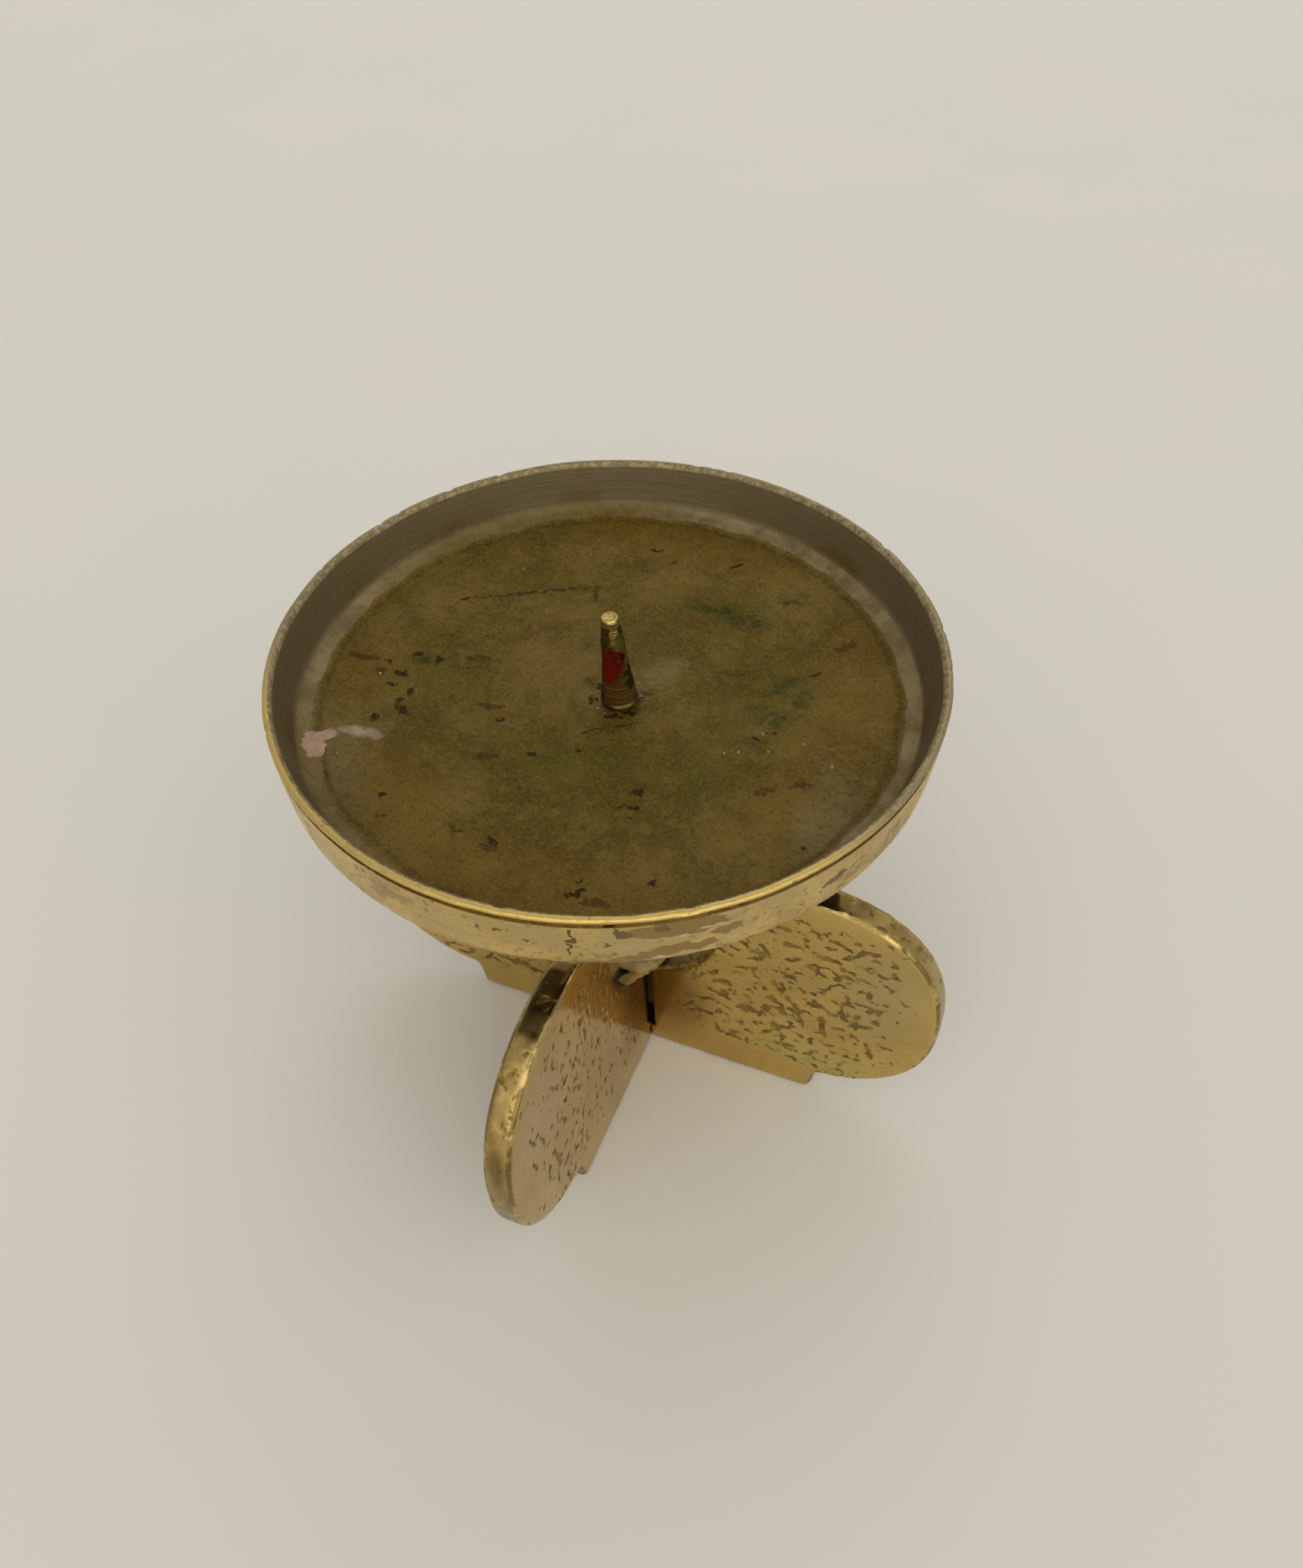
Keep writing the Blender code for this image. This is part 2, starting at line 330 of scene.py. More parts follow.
# Shared effect: a point that wanders a little, so that edges of stains come out ragged.
wander_group, entry, leave = start_group(
    "wandering", {"Point": "Vector", "Size": "Float", "Amount": "Float"}, {"Point": "Vector"},
)
scale = reckon(wander_group, "DIVIDE", 0.5, entry["Size"])
drift = place(wander_group, "TexNoise", {"Vector": entry["Point"], "Scale": scale, "Detail": 3.0})
middle = reckon_vector(wander_group, "SUBTRACT", drift.outputs["Color"], (0.5, 0.5, 0.5))[0]
moved = place(wander_group, "VectorMath", operation="SCALE")
join(wander_group, middle, moved.inputs[0])
join(wander_group, entry["Amount"], moved.inputs["Scale"])
summed = reckon_vector(wander_group, "ADD", entry["Point"], moved.outputs[0])[0]
join(wander_group, summed, leave["Point"])


def wander(tree, point, size, amount):
    return use(tree, wander_group, Point=point, Size=size, Amount=amount)["Point"]


# Shared effect: cast brass. Cloudy tone, tiny pits and tarnish, for every brass piece.
PIT_BROWN = (0.16, 0.10, 0.035)
brass_group, entry, leave = start_group(
    "cast_brass",
    {"Point": "Vector", "Bright": "Color", "Dull": "Color", "Pit Size": "Float", "Pit Amount": "Float"},
    {"Color": "Color", "Haze": "Float", "Pits": "Float", "Height": "Float"},
)
clouds = rise(brass_group, grain(brass_group, entry["Point"], 0.006, 4.0, 0.6), 0.35, 0.68)
tone = lay(brass_group, entry["Bright"], entry["Dull"], clouds)
pit_scale = reckon(brass_group, "DIVIDE", 0.5, entry["Pit Size"])
specks = place(brass_group, "TexNoise", {"Vector": entry["Point"], "Scale": pit_scale, "Detail": 2.0})
level = minus(brass_group, 0.80, times(brass_group, entry["Pit Amount"], 0.2))
pits = rise(brass_group, specks.outputs[0], level, plus(brass_group, level, 0.06))
join(brass_group, lay(brass_group, tone, PIT_BROWN, pits), leave["Color"])
join(brass_group, clouds, leave["Haze"])
join(brass_group, pits, leave["Pits"])
fine = grain(brass_group, entry["Point"], 0.0005, 3.0)
join(brass_group, minus(brass_group, times(brass_group, fine, 0.25), pits), leave["Height"])


def brass(tree, point, bright, dull, pit_size, pit_amount):
    pitting = {"Pit Size": pit_size, "Pit Amount": pit_amount}
    return use(tree, brass_group, Point=point, Bright=bright, Dull=dull, **pitting)


def patches(tree, point, marks, softness):
    """One mask of several oval patches: each mark is (x, y, z, reach x, y, z in mm, turn)."""
    total = 0.0
    for x, y, z, reach_x, reach_y, reach_z, turn in marks:
        mask = use(
            tree, patch_group, Point=point, Centre=(x * MM, y * MM, z * MM),
            Reach=(reach_x * MM, reach_y * MM, reach_z * MM), Turn=math.radians(turn), Softness=softness,
        )["Mask"]
        total = reckon(tree, "MAXIMUM", total, mask)
    return total


def floor_patches(tree, point, places, softness):
    """Patches on the dish's floor; each place is (x, y, reach along, reach across, turn)."""
    marks = [(x, y, FLOOR_LEVEL, along, across, 3, turn) for x, y, along, across, turn in places]
    return patches(tree, point, marks, softness)


# Where the floor's marks are, in the dish's own frame: x, y and reaches in mm, and the turn.
FLOOR_LEVEL = -9
DARK_SPOTS = [
    (-27.4, -15.4, 1.25, 0.95, -35), (-28.9, -15.2, 0.45, 0.4, 0), (-28.8, -13.8, 0.45, 0.5, 0),
    (-28.4, -11.4, 0.6, 1.0, 10), (-31.8, -8.3, 1.0, 0.6, -10), (-32.2, -11.2, 0.8, 0.35, 0),
    (-35.2, -7.0, 0.7, 0.25, 25), (-30.6, -18.4, 0.4, 0.7, 10), (-31.6, -3.4, 0.8, 0.4, 30),
    (-28.2, -3.2, 0.45, 0.8, 0), (-13.3, -11.0, 0.9, 0.3, 20), (-31.0, 11.4, 0.9, 0.3, 30),
    (11.4, -16.9, 0.9, 0.7, 20), (12.2, -19.7, 0.7, 0.5, 25), (10.4, -20.2, 0.6, 0.3, 25),
    (12.4, -21.6, 0.5, 0.35, 25), (-5.8, -16.1, 0.7, 0.4, 40), (0.4, -12.7, 0.5, 0.25, 20),
    (11.2, -37.3, 1.3, 0.5, 45), (10.9, -35.0, 0.6, 0.3, 30), (20.1, -31.7, 0.7, 0.35, 20),
    (36.6, -18.5, 0.5, 0.4, 0), (-3.1, -33.2, 0.9, 0.5, 0), (-21.2, -31.6, 0.5, 0.4, 0),
    (-7.4, 35.4, 1.2, 0.4, 20), (-3.5, 33.5, 0.8, 0.3, 50), (6.8, 36.5, 1.1, 0.5, 60),
    (23.3, 0.0, 0.5, 0.3, 20), (24.6, 1.2, 0.4, 0.3, 20), (25.5, 2.2, 0.4, 0.3, 20),
    (27.6, 16.4, 0.9, 0.25, 50), (-24.1, 5.0, 0.3, 0.3, 0), (4.0, -2.2, 1.0, 0.6, 40),
    (4.4, 0.8, 0.5, 0.9, 0), (-2.3, -1.6, 0.6, 1.0, 10), (1.6, -3.9, 1.5, 0.45, 0),
    (-2.4, 1.2, 0.6, 0.9, 0),
]
BROWN_SPOTS = [
    (-38.9, -7.6, 2.6, 0.7, 15), (-34.9, -9.2, 0.8, 0.9, 0), (-22.7, -0.2, 1.6, 0.6, 30),
    (-2.9, -34.5, 1.4, 0.9, 0), (-8.9, -33.3, 0.8, 0.5, 0), (-19.2, -35.3, 0.6, 0.5, 0),
    (14.2, -37.8, 2.0, 0.8, 20), (-30.3, -31.5, 0.6, 0.4, 0), (32.5, -7.0, 1.6, 0.8, 30),
    (28.0, -10.0, 1.8, 0.7, 40), (30.0, 24.0, 2.0, 0.7, 60), (-16.0, -9.0, 2.2, 0.6, 20),
    (-12.0, -19.0, 1.6, 0.7, 20), (18.0, 31.0, 1.6, 0.6, 20),
]
SCRATCHES = [
    (-22.0, 17.4, 10.6, 0.26, 33), (-12.4, 21.6, 1.9, 0.4, -72), (4.4, -4.8, 2.2, 0.2, 35),
    (0.6, -7.6, 2.6, 0.2, 40),
]
GREEN_DEEP = [
    (13.4, 24.0, 3.0, 1.4, -4), (8.0, 25.0, 5.0, 1.0, -6), (21.6, 5.6, 1.6, 1.5, 20),
    (24.6, 13.2, 3.0, 1.0, 50), (15.0, 12.0, 2.0, 0.4, 15), (24.8, 5.0, 3.4, 1.6, 25),
    (23.0, -0.8, 1.6, 0.8, 20), (27.4, 10.0, 1.6, 2.6, 10), (-29.5, -3.9, 2.0, 1.0, 20),
    (4.6, -1.2, 1.4, 1.0, 20), (4.7, 2.6, 1.0, 0.8, 20), (-3.7, 1.4, 1.0, 0.9, 20),
]
GREEN_SOFT = [
    (8.5, 25.2, 8.5, 4.0, 0), (22.0, 8.5, 7.5, 9.5, 0), (2.5, -16.0, 15.0, 6.0, 12),
    (16.5, -11.5, 10.0, 5.6, 25), (-18.0, 19.5, 5.0, 2.2, 30), (-26.0, -8.0, 7.0, 5.0, 10),
]
RED_SOFT = [
    (33.0, 14.0, 7.0, 17.0, 0), (33.0, -10.0, 8.0, 9.0, 0), (4.0, -38.0, 26.0, 6.0, 5),
    (-36.0, -9.0, 6.0, 6.0, 20), (-22.0, -30.0, 10.0, 6.0, -30), (-5.0, 38.0, 20.0, 4.0, 0),
]
GREY_SOFT = [
    (-33.0, -28.0, 12.0, 6.0, -45), (4.6, 7.4, 2.2, 4.6, -15), (-30.5, -22.2, 4.5, 1.6, 25),
    (39.0, -14.0, 4.0, 12.0, 15), (-35.0, -24.0, 5.0, 3.0, 20),
]
RING_FAINT = [                  # with the height and its reach too
    (-30.0, 34.0, -8, 26.0, 14.0, 4, 48), (-27.0, -38.0, -8, 24.0, 12.0, 4, -42),
    (30.0, -34.0, -8, 18.0, 12.0, 4, 45),
]

# The dish's colours: floor, ring, inner wall, outside and rim.
FLOOR_DARK = (0.100, 0.062, 0.0085)
FLOOR_LIGHT = (0.158, 0.102, 0.0200)
FLOOR_STREAK = (0.068, 0.042, 0.003)
FLOOR_MOTTLE = (0.178, 0.122, 0.022)
FLOOR_SHADE = (0.046, 0.028, 0.0015)
REDDISH = (0.165, 0.088, 0.012)
GREYISH = (0.200, 0.152, 0.080)
GREENISH = (0.058, 0.060, 0.0030)
VERDIGRIS = (0.012, 0.026, 0.0018)
DIRT_BROWN = (0.052, 0.022, 0.0015)
SOOT = (0.016, 0.0085, 0.0008)
SCRATCH_DARK = (0.030, 0.017, 0.001)
SPECK_PALE = (0.300, 0.235, 0.095)
GRIT_PALE = (0.190, 0.125, 0.020)
GRIT_DARK = (0.038, 0.022, 0.0014)
RING_PALE = (0.255, 0.196, 0.094)
RING_DULL = (0.165, 0.118, 0.048)
RING_EDGE = (0.050, 0.028, 0.002)
WALL_DARK = (0.128, 0.098, 0.044)
WALL_LIGHT = (0.185, 0.143, 0.070)
WALL_BROWN = (0.112, 0.066, 0.018)
CAST_BRIGHT = (0.71, 0.520, 0.180)
CAST_DULL = (0.56, 0.400, 0.130)
CAST_PALE = (0.53, 0.400, 0.190)
CAST_GRIT = (0.40, 0.290, 0.110)
CAST_PIT = (0.235, 0.160, 0.055)
PATCH_DULL = (0.34, 0.235, 0.105)
BARE_DARK = (0.215, 0.128, 0.034)
BARE_LIGHT = (0.285, 0.185, 0.064)
STREAK_PALE = (0.58, 0.455, 0.225)
MARK_GREY = (0.145, 0.105, 0.040)
CRACK_BROWN = (0.100, 0.062, 0.018)
UNDER_DARK = (0.048, 0.029, 0.007)
GROOVE_BROWN = (0.105, 0.052, 0.006)
RIM_DUSTY = (0.370, 0.295, 0.155)
RIM_DIRTY = (0.205, 0.155, 0.072)
# The rim's paler back tone, and the gold painted on its front as a painted reflection.
RIM_BACK = (0.38, 0.305, 0.165)
RIM_REFLECTION_GOLD = (0.66, 0.475, 0.150)
dish_brass, tree, shader, point = new_material("dish_brass")
TO_DISH = DISH_PLACE.inverted()


def in_dish(tree, point):
    """The point in the dish's own frame, in which it sits level."""
    turn = tuple(TO_DISH.to_euler())
    sockets = {"Vector": point, "Location": TO_DISH.translation, "Rotation": turn}
    return place(tree, "Mapping", sockets).outputs[0]


own = in_dish(tree, point)
radius = told(tree, "radius")
height = told(tree, "height")
ragged = wander(tree, own, 0.0030, 0.0095)
frayed = wander(tree, own, 0.0007, 0.0024)
torn = wander(tree, own, 0.0016, 0.0036)


def gritty(tree, field, gravel, share):
    """A soft patch broken up by gravel, so that its edge is ragged and speckled."""
    return rise(tree, plus(tree, field, centred(tree, gravel, share)), 0.36, 0.66)


def stain(tree, point, places, size):
    """Soft patches that fade outwards and are mottled through, like verdigris."""
    mottled = rise(tree, grain(tree, point, size, 6.0, 0.8), 0.28, 0.64)
    return times(tree, floor_patches(tree, point, places, 0.85), mottled)


def tint(tree, under, colour, mask, strength):
    """Lay a colour over another by the mask, at most as strongly as the strength says."""
    return lay(tree, under, colour, times(tree, mask, strength))


# Floor: olive-brown patina in clouds, faint turned streaks, grit and tiny pale specks.
gravel = grain(tree, own, 0.0005, 4.0, 0.75)
clouds = rise(tree, grain(tree, own, 0.007, 5.0, 0.65), 0.36, 0.66)
floor_tone = lay(tree, FLOOR_DARK, FLOOR_LIGHT, clouds)
rings = place(tree, "CombineXYZ", {"X": radius}).outputs[0]
slow = reckon_vector(tree, "MULTIPLY", own, (60.0, 60.0, 60.0))[0]
streaked = reckon_vector(tree, "ADD", rings, slow)[0]
streaks = place(tree, "TexNoise", {"Vector": streaked, "Scale": 0.9, "Detail": 3.0}).outputs[0]
floor_tone = tint(tree, floor_tone, FLOOR_STREAK, rise(tree, streaks, 0.50, 0.72), 0.35)
mottle = rise(tree, grain(tree, own, 0.0012, 5.0, 0.75), 0.44, 0.66)
floor_tone = tint(tree, floor_tone, FLOOR_MOTTLE, mottle, 0.45)
dark_mottle = rise(tree, grain(tree, ragged, 0.0021, 5.0, 0.75), 0.52, 0.70)
floor_tone = tint(tree, floor_tone, FLOOR_SHADE, dark_mottle, 0.45)
floor_tone = tint(tree, floor_tone, REDDISH, floor_patches(tree, ragged, RED_SOFT, 0.7), 0.42)
grey = times(tree, floor_patches(tree, ragged, GREY_SOFT, 0.6), rise(tree, gravel, 0.30, 0.62))
floor_tone = tint(tree, floor_tone, GREYISH, grey, 0.55)
green = stain(tree, torn, GREEN_SOFT, 0.0026)
floor_tone = tint(tree, floor_tone, GREENISH, green, 0.66)
verdigris = stain(tree, torn, GREEN_DEEP, 0.0011)
floor_tone = tint(tree, floor_tone, VERDIGRIS, verdigris, 0.85)
brown = gritty(tree, floor_patches(tree, frayed, BROWN_SPOTS, 0.9), gravel, 2.0)
floor_tone = tint(tree, floor_tone, DIRT_BROWN, brown, 0.72)
soot = gritty(tree, floor_patches(tree, frayed, DARK_SPOTS, 0.95), gravel, 1.8)
floor_tone = tint(tree, floor_tone, SOOT, soot, 0.90)
scratch = gritty(tree, floor_patches(tree, frayed, SCRATCHES, 0.7), gravel, 0.25)
floor_tone = tint(tree, floor_tone, SCRATCH_DARK, scratch, 0.75)
fine = grain(tree, own, 0.0003, 3.0, 0.7)
specks = rise(tree, fine, 0.68, 0.78)
floor_tone = tint(tree, floor_tone, SPECK_PALE, specks, 0.50)
floor_tone = tint(tree, floor_tone, GRIT_PALE, rise(tree, fine, 0.50, 0.66), 0.34)
floor_tone = tint(tree, floor_tone, GRIT_DARK, rise(tree, fine, 0.48, 0.30), 0.46)

# Pale dry ring at the foot of the wall, with a ragged edge, worn away in three places.
wobble = centred(tree, grain(tree, own, 0.0060, 6.0, 0.75), 2.4)
ring_start = plus(tree, radius, wobble)
ring = rise(tree, ring_start, FLOOR_EDGE - 0.22, FLOOR_EDGE + 0.22)
faint = patches(tree, ragged, RING_FAINT, 0.5)
ring = times(tree, ring, between(tree, 1.0, 0.38, faint))
ring_clouds = rise(tree, grain(tree, own, 0.0025, 5.0, 0.7), 0.36, 0.64)
ring_tone = lay(tree, RING_PALE, RING_DULL, ring_clouds)
edge_line = times(tree, rise(tree, ring_start, 42.6, 43.4), rise(tree, ring_start, 44.2, 43.7))
edge_line = times(tree, edge_line, rise(tree, gravel, 0.35, 0.60))
floor_tone = tint(tree, floor_tone, RING_EDGE, edge_line, 0.60)
inside = lay(tree, floor_tone, ring_tone, ring)

# Inner wall: dark, with turning lines.
def turning_lines(tree, height, scale, detail, roughness=0.5, sway=0.0):
    """Noise that only changes with the height, like the marks of a lathe's tool."""
    line = place(tree, "CombineXYZ", {"X": height, "Y": sway}).outputs[0]
    sockets = {"Vector": line, "Scale": scale, "Detail": detail, "Roughness": roughness}
    return place(tree, "TexNoise", sockets).outputs[0]


wall = rise(tree, height, -7.35, -6.75)
lines = turning_lines(tree, height, 1.7, 4.0, 0.7, times(tree, wobble, 0.06))
wall_tone = lay(tree, WALL_DARK, WALL_LIGHT, rise(tree, lines, 0.36, 0.76))
wall_low = times(tree, rise(tree, grain(tree, own, 0.008, 4.0), 0.45, 0.65), rise(tree, height, -3.0, -6.5))
wall_tone = lay(tree, wall_tone, WALL_BROWN, wall_low)
inside = lay(tree, inside, wall_tone, wall)

# Outside: bright brass with pits, dull pinkish patches and a crack, dark underneath.
cast = brass(tree, own, CAST_BRIGHT, CAST_DULL, 0.0005, 0.75)
WALL_RADIUS = 49.8


def on_wall(angle, depth, reach_along, reach_up):
    """A patch on the dish's outer wall, by the angle round the dish and the height."""
    turn = math.radians(angle)
    return (
        WALL_RADIUS * math.cos(turn), WALL_RADIUS * math.sin(turn), depth,
        reach_along, 3.0, reach_up, angle + 90,
    )


DULL_PATCHES = [
    on_wall(-40, -7.0, 5.0, 1.0), on_wall(-100, -4.5, 7.0, 2.0), on_wall(-66, -9.6, 5.0, 0.6),
    on_wall(-20, -7.0, 9.0, 1.6), on_wall(40, -6.0, 9.0, 2.0), on_wall(150, -5.0, 12.0, 2.4),
    on_wall(-150, -6.5, 8.0, 1.8), on_wall(95, -4.0, 7.0, 1.6),
]
BARE_PATCHES = [
    on_wall(-56.5, -3.1, 7.2, 1.7), on_wall(-61.0, -3.6, 2.6, 1.5), on_wall(-55.0, -7.6, 5.4, 1.0),
    on_wall(-60.0, -8.4, 4.2, 0.9), on_wall(-49.0, -5.4, 2.6, 0.8), on_wall(-67.5, -9.4, 5.0, 0.45),
    on_wall(52, -5.0, 6.0, 1.4), on_wall(-170, -6.0, 5.0, 1.3),
]
PALE_STREAKS = [
    on_wall(-65.5, -6.0, 4.2, 0.45), on_wall(-57.0, -5.1, 3.4, 0.40), on_wall(-50.5, -3.9, 3.2, 0.30),
    on_wall(-56.5, -9.4, 3.6, 0.35), on_wall(-47.0, -6.8, 3.0, 0.40),
]
GREY_MARKS = [
    on_wall(-64.9, -2.8, 0.7, 1.0), on_wall(-64.0, -3.4, 1.0, 0.5), on_wall(-66.5, -5.4, 0.5, 0.3),
    on_wall(-82.6, -3.9, 0.6, 0.4), on_wall(-78.5, -5.4, 0.5, 0.4), on_wall(-85.5, -4.2, 0.4, 0.3),
    on_wall(-58.5, -2.6, 0.9, 0.7), on_wall(-30, -5.0, 2.2, 0.7),
    on_wall(70, -6.0, 2.4, 0.8), on_wall(170, -7.0, 2.0, 0.8),
]
CRACK = [on_wall(-71.9, -2.7, 0.30, 1.1), on_wall(-71.6, -4.4, 0.55, 0.8), on_wall(-72.3, -6.6, 0.25, 1.6)]
mottled = rise(tree, grain(tree, ragged, 0.0018, 4.0, 0.6), 0.40, 0.52)
dull = times(tree, patches(tree, ragged, DULL_PATCHES, 0.25), mottled)
pit_field = told(tree, "pit")
ragged_pits = plus(tree, pit_field, centred(tree, grain(tree, own, 0.00035, 4.0, 0.7), 1.3))
wall_pits = rise(tree, ragged_pits, 0.05, 0.35)
pale_clouds = rise(tree, grain(tree, ragged, 0.0032, 5.0, 0.7), 0.42, 0.58)
outside = tint(tree, cast["Color"], CAST_PALE, pale_clouds, 0.70)
outside = tint(tree, outside, CAST_GRIT, rise(tree, gravel, 0.56, 0.68), 0.45)
outside = tint(tree, outside, CAST_PIT, wall_pits, 0.66)
outside = tint(tree, outside, PATCH_DULL, dull, 0.85)
bare_patch = gritty(tree, patches(tree, torn, BARE_PATCHES, 0.45), grain(tree, own, 0.0009, 5.0, 0.7), 0.8)
bare_patch = times(tree, bare_patch, rise(tree, height, -1.3, -1.5))
bare_tone = lay(tree, BARE_DARK, BARE_LIGHT, gravel)
outside = tint(tree, outside, bare_tone, bare_patch, 0.95)
pale_streak = gritty(tree, patches(tree, frayed, PALE_STREAKS, 0.6), gravel, 0.9)
outside = tint(tree, outside, STREAK_PALE, pale_streak, 0.85)
grey_mark = gritty(tree, patches(tree, frayed, GREY_MARKS, 0.6), gravel, 0.9)
outside = tint(tree, outside, MARK_GREY, grey_mark, 0.85)
crack = gritty(tree, patches(tree, frayed, CRACK, 0.6), gravel, 0.8)
outside = tint(tree, outside, CRACK_BROWN, crack, 0.85)
under = rise(tree, height, -11.0, -11.45)
outside = lay(tree, outside, UNDER_DARK, under)
groove = times(tree, rise(tree, height, -1.60, -1.34), rise(tree, height, -0.60, -0.78))
outside = tint(tree, outside, GROOVE_BROWN, groove, 0.95)

# Inside and outside meet at the rim, which is worn bright at its outer edge, with a painted gold reflection
# on its front.
outer = rise(tree, radius, 48.9, 49.15)
under_side = rise(tree, height, -10.2, -10.6)
out_mask = reckon(tree, "MAXIMUM", outer, under_side)
body_tone = lay(tree, inside, outside, out_mask)
top_face = rise(tree, height, -0.76, -0.58)
rim_dirt = lay(tree, RIM_DUSTY, RIM_DIRTY, rise(tree, gravel, 0.38, 0.60))
body_tone = lay(tree, body_tone, rim_dirt, top_face)
# Painted reflection: towards the front of the dish the rim's top is painted gold and its bright band made
# wider, for the light it mirrors there; the back keeps the paler tone.
painted_rim_reflection = rise(tree, place(tree, "SeparateXYZ", {"Vector": own}).outputs["Y"], -0.012, -0.030)
rim_wear_and_reflection = rise(tree, plus(tree, radius, times(tree, painted_rim_reflection, 0.12)), 49.22, 49.48)
rim = times(tree, top_face, rise(tree, grain(tree, own, 0.0009, 3.0), 0.22, 0.40))
rim = times(tree, rim, rim_wear_and_reflection)
body_tone = lay(tree, body_tone, lay(tree, RIM_BACK, RIM_REFLECTION_GOLD, painted_rim_reflection), rim)
join(tree, body_tone, shader["Base Color"])

bright = reckon(tree, "MAXIMUM", rim, times(tree, out_mask, minus(tree, 1.0, under)))
spoiled = reckon(tree, "MAXIMUM", times(tree, wall_pits, 0.7), times(tree, dull, 0.8))
spoiled = reckon(tree, "MAXIMUM", spoiled, times(tree, bare_patch, 0.9))
bright = times(tree, bright, minus(tree, 1.0, times(tree, spoiled, out_mask)))
shader["Specular IOR Level"].default_value = 0.10
join(tree, between(tree, 0.30, 1.0, bright), shader["Metallic"])
floor_rough = between(tree, 0.52, 0.38, clouds)
rough = between(tree, floor_rough, 0.46, wall)
rough = between(tree, rough, between(tree, 0.34, 0.48, cast["Haze"]), bright)
join(tree, rough, shader["Roughness"])
dish_height = times(tree, fine, 0.4)
wall_lines = times(tree, lines, wall)
for layer, share in ((gravel, 0.5), (soot, -0.5), (mottle, 0.3), (wall_lines, 0.25), (scratch, -0.6)):
    dish_height = plus(tree, dish_height, times(tree, layer, share))
join(tree, bump(tree, dish_height, 0.00010, 0.7), shader["Normal"])

outline = spaced(UNDERSIDE, 2.0) + spaced(OUTSIDE, 0.5) + spaced(INSIDE, 1.0)
builder, radius_layer, height_layer = turned(outline, DISH_STEPS, closed=True)
pit_layer = builder.verts.layers.float.new("pit")
for vert in builder.verts:
    start = vert.co.copy()
    radius_mm, height_mm = vert[radius_layer], vert[height_layer]
    angle = math.atan2(start.y, start.x)
    out = Vector((start.x, start.y, 0)).normalized()
    edge_share = soft(radius_mm, 25, 44)
    oval = -0.005 * math.cos(2 * angle) + 0.009 * math.sin(2 * angle)
    vert.co += out * radius_mm * MM * oval * edge_share
    vert.co += out * 0.00012 * wave(start, 0.016, 1) * edge_share
    field = -1.0
    if radius_mm > 48.95 and height_mm < -1.1:
        cluster = 0.30 * wave(start, 0.007, 6) - 0.12 * soft(height_mm, -3.5, -1.5)
        field = (wave(start, 0.0009, 5) + 0.5 * wave(start, 0.0005, 15) + cluster - 0.36) * 3.0
        vert.co -= out * 0.00012 * soft(field, 0.0, 0.5)
        vert.co += out * 0.00004 * wave(start, 0.004, 7)
    elif height_mm > -1.1:
        nick = soft(wave(start, 0.0016, 8) + 0.4 * wave(start, 0.008, 9), 0.30, 0.62)
        vert.co.z -= 0.00022 * nick
        vert.co -= out * 0.00010 * nick * (1 if radius_mm > 49.2 else -1)
        vert.co.z += 0.00010 * wave(start, 0.011, 10)
        vert.co += out * 0.00005 * wave(start, 0.0025, 11)
    elif radius_mm < 47.0 and height_mm > -10.0:
        if radius_mm > 43.0:
            vert.co += out * 0.0004 * wave(start, 0.005, 12) * soft(46.6 - radius_mm, 0.0, 0.8)
        level = soft(radius_mm, 5.6, 9.0)
        vert.co.z += (0.00007 * wave(start, 0.010, 13) + 0.000025 * wave(start, 0.0028, 14)) * level
    if radius_mm < 16:
        shift = SHANK_HOLE * MM * (1 - soft(radius_mm, 7, 16))
        vert.co.x += shift.x
        vert.co.y += shift.y
    vert[pit_layer] = field
builder.transform(DISH_PLACE)
dish = add_object("brass_dish", builder, dish_brass)
dish.data.shade_smooth()
dish.data.set_sharp_from_angle(angle=math.radians(50))
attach(dish, "root")
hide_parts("dish")


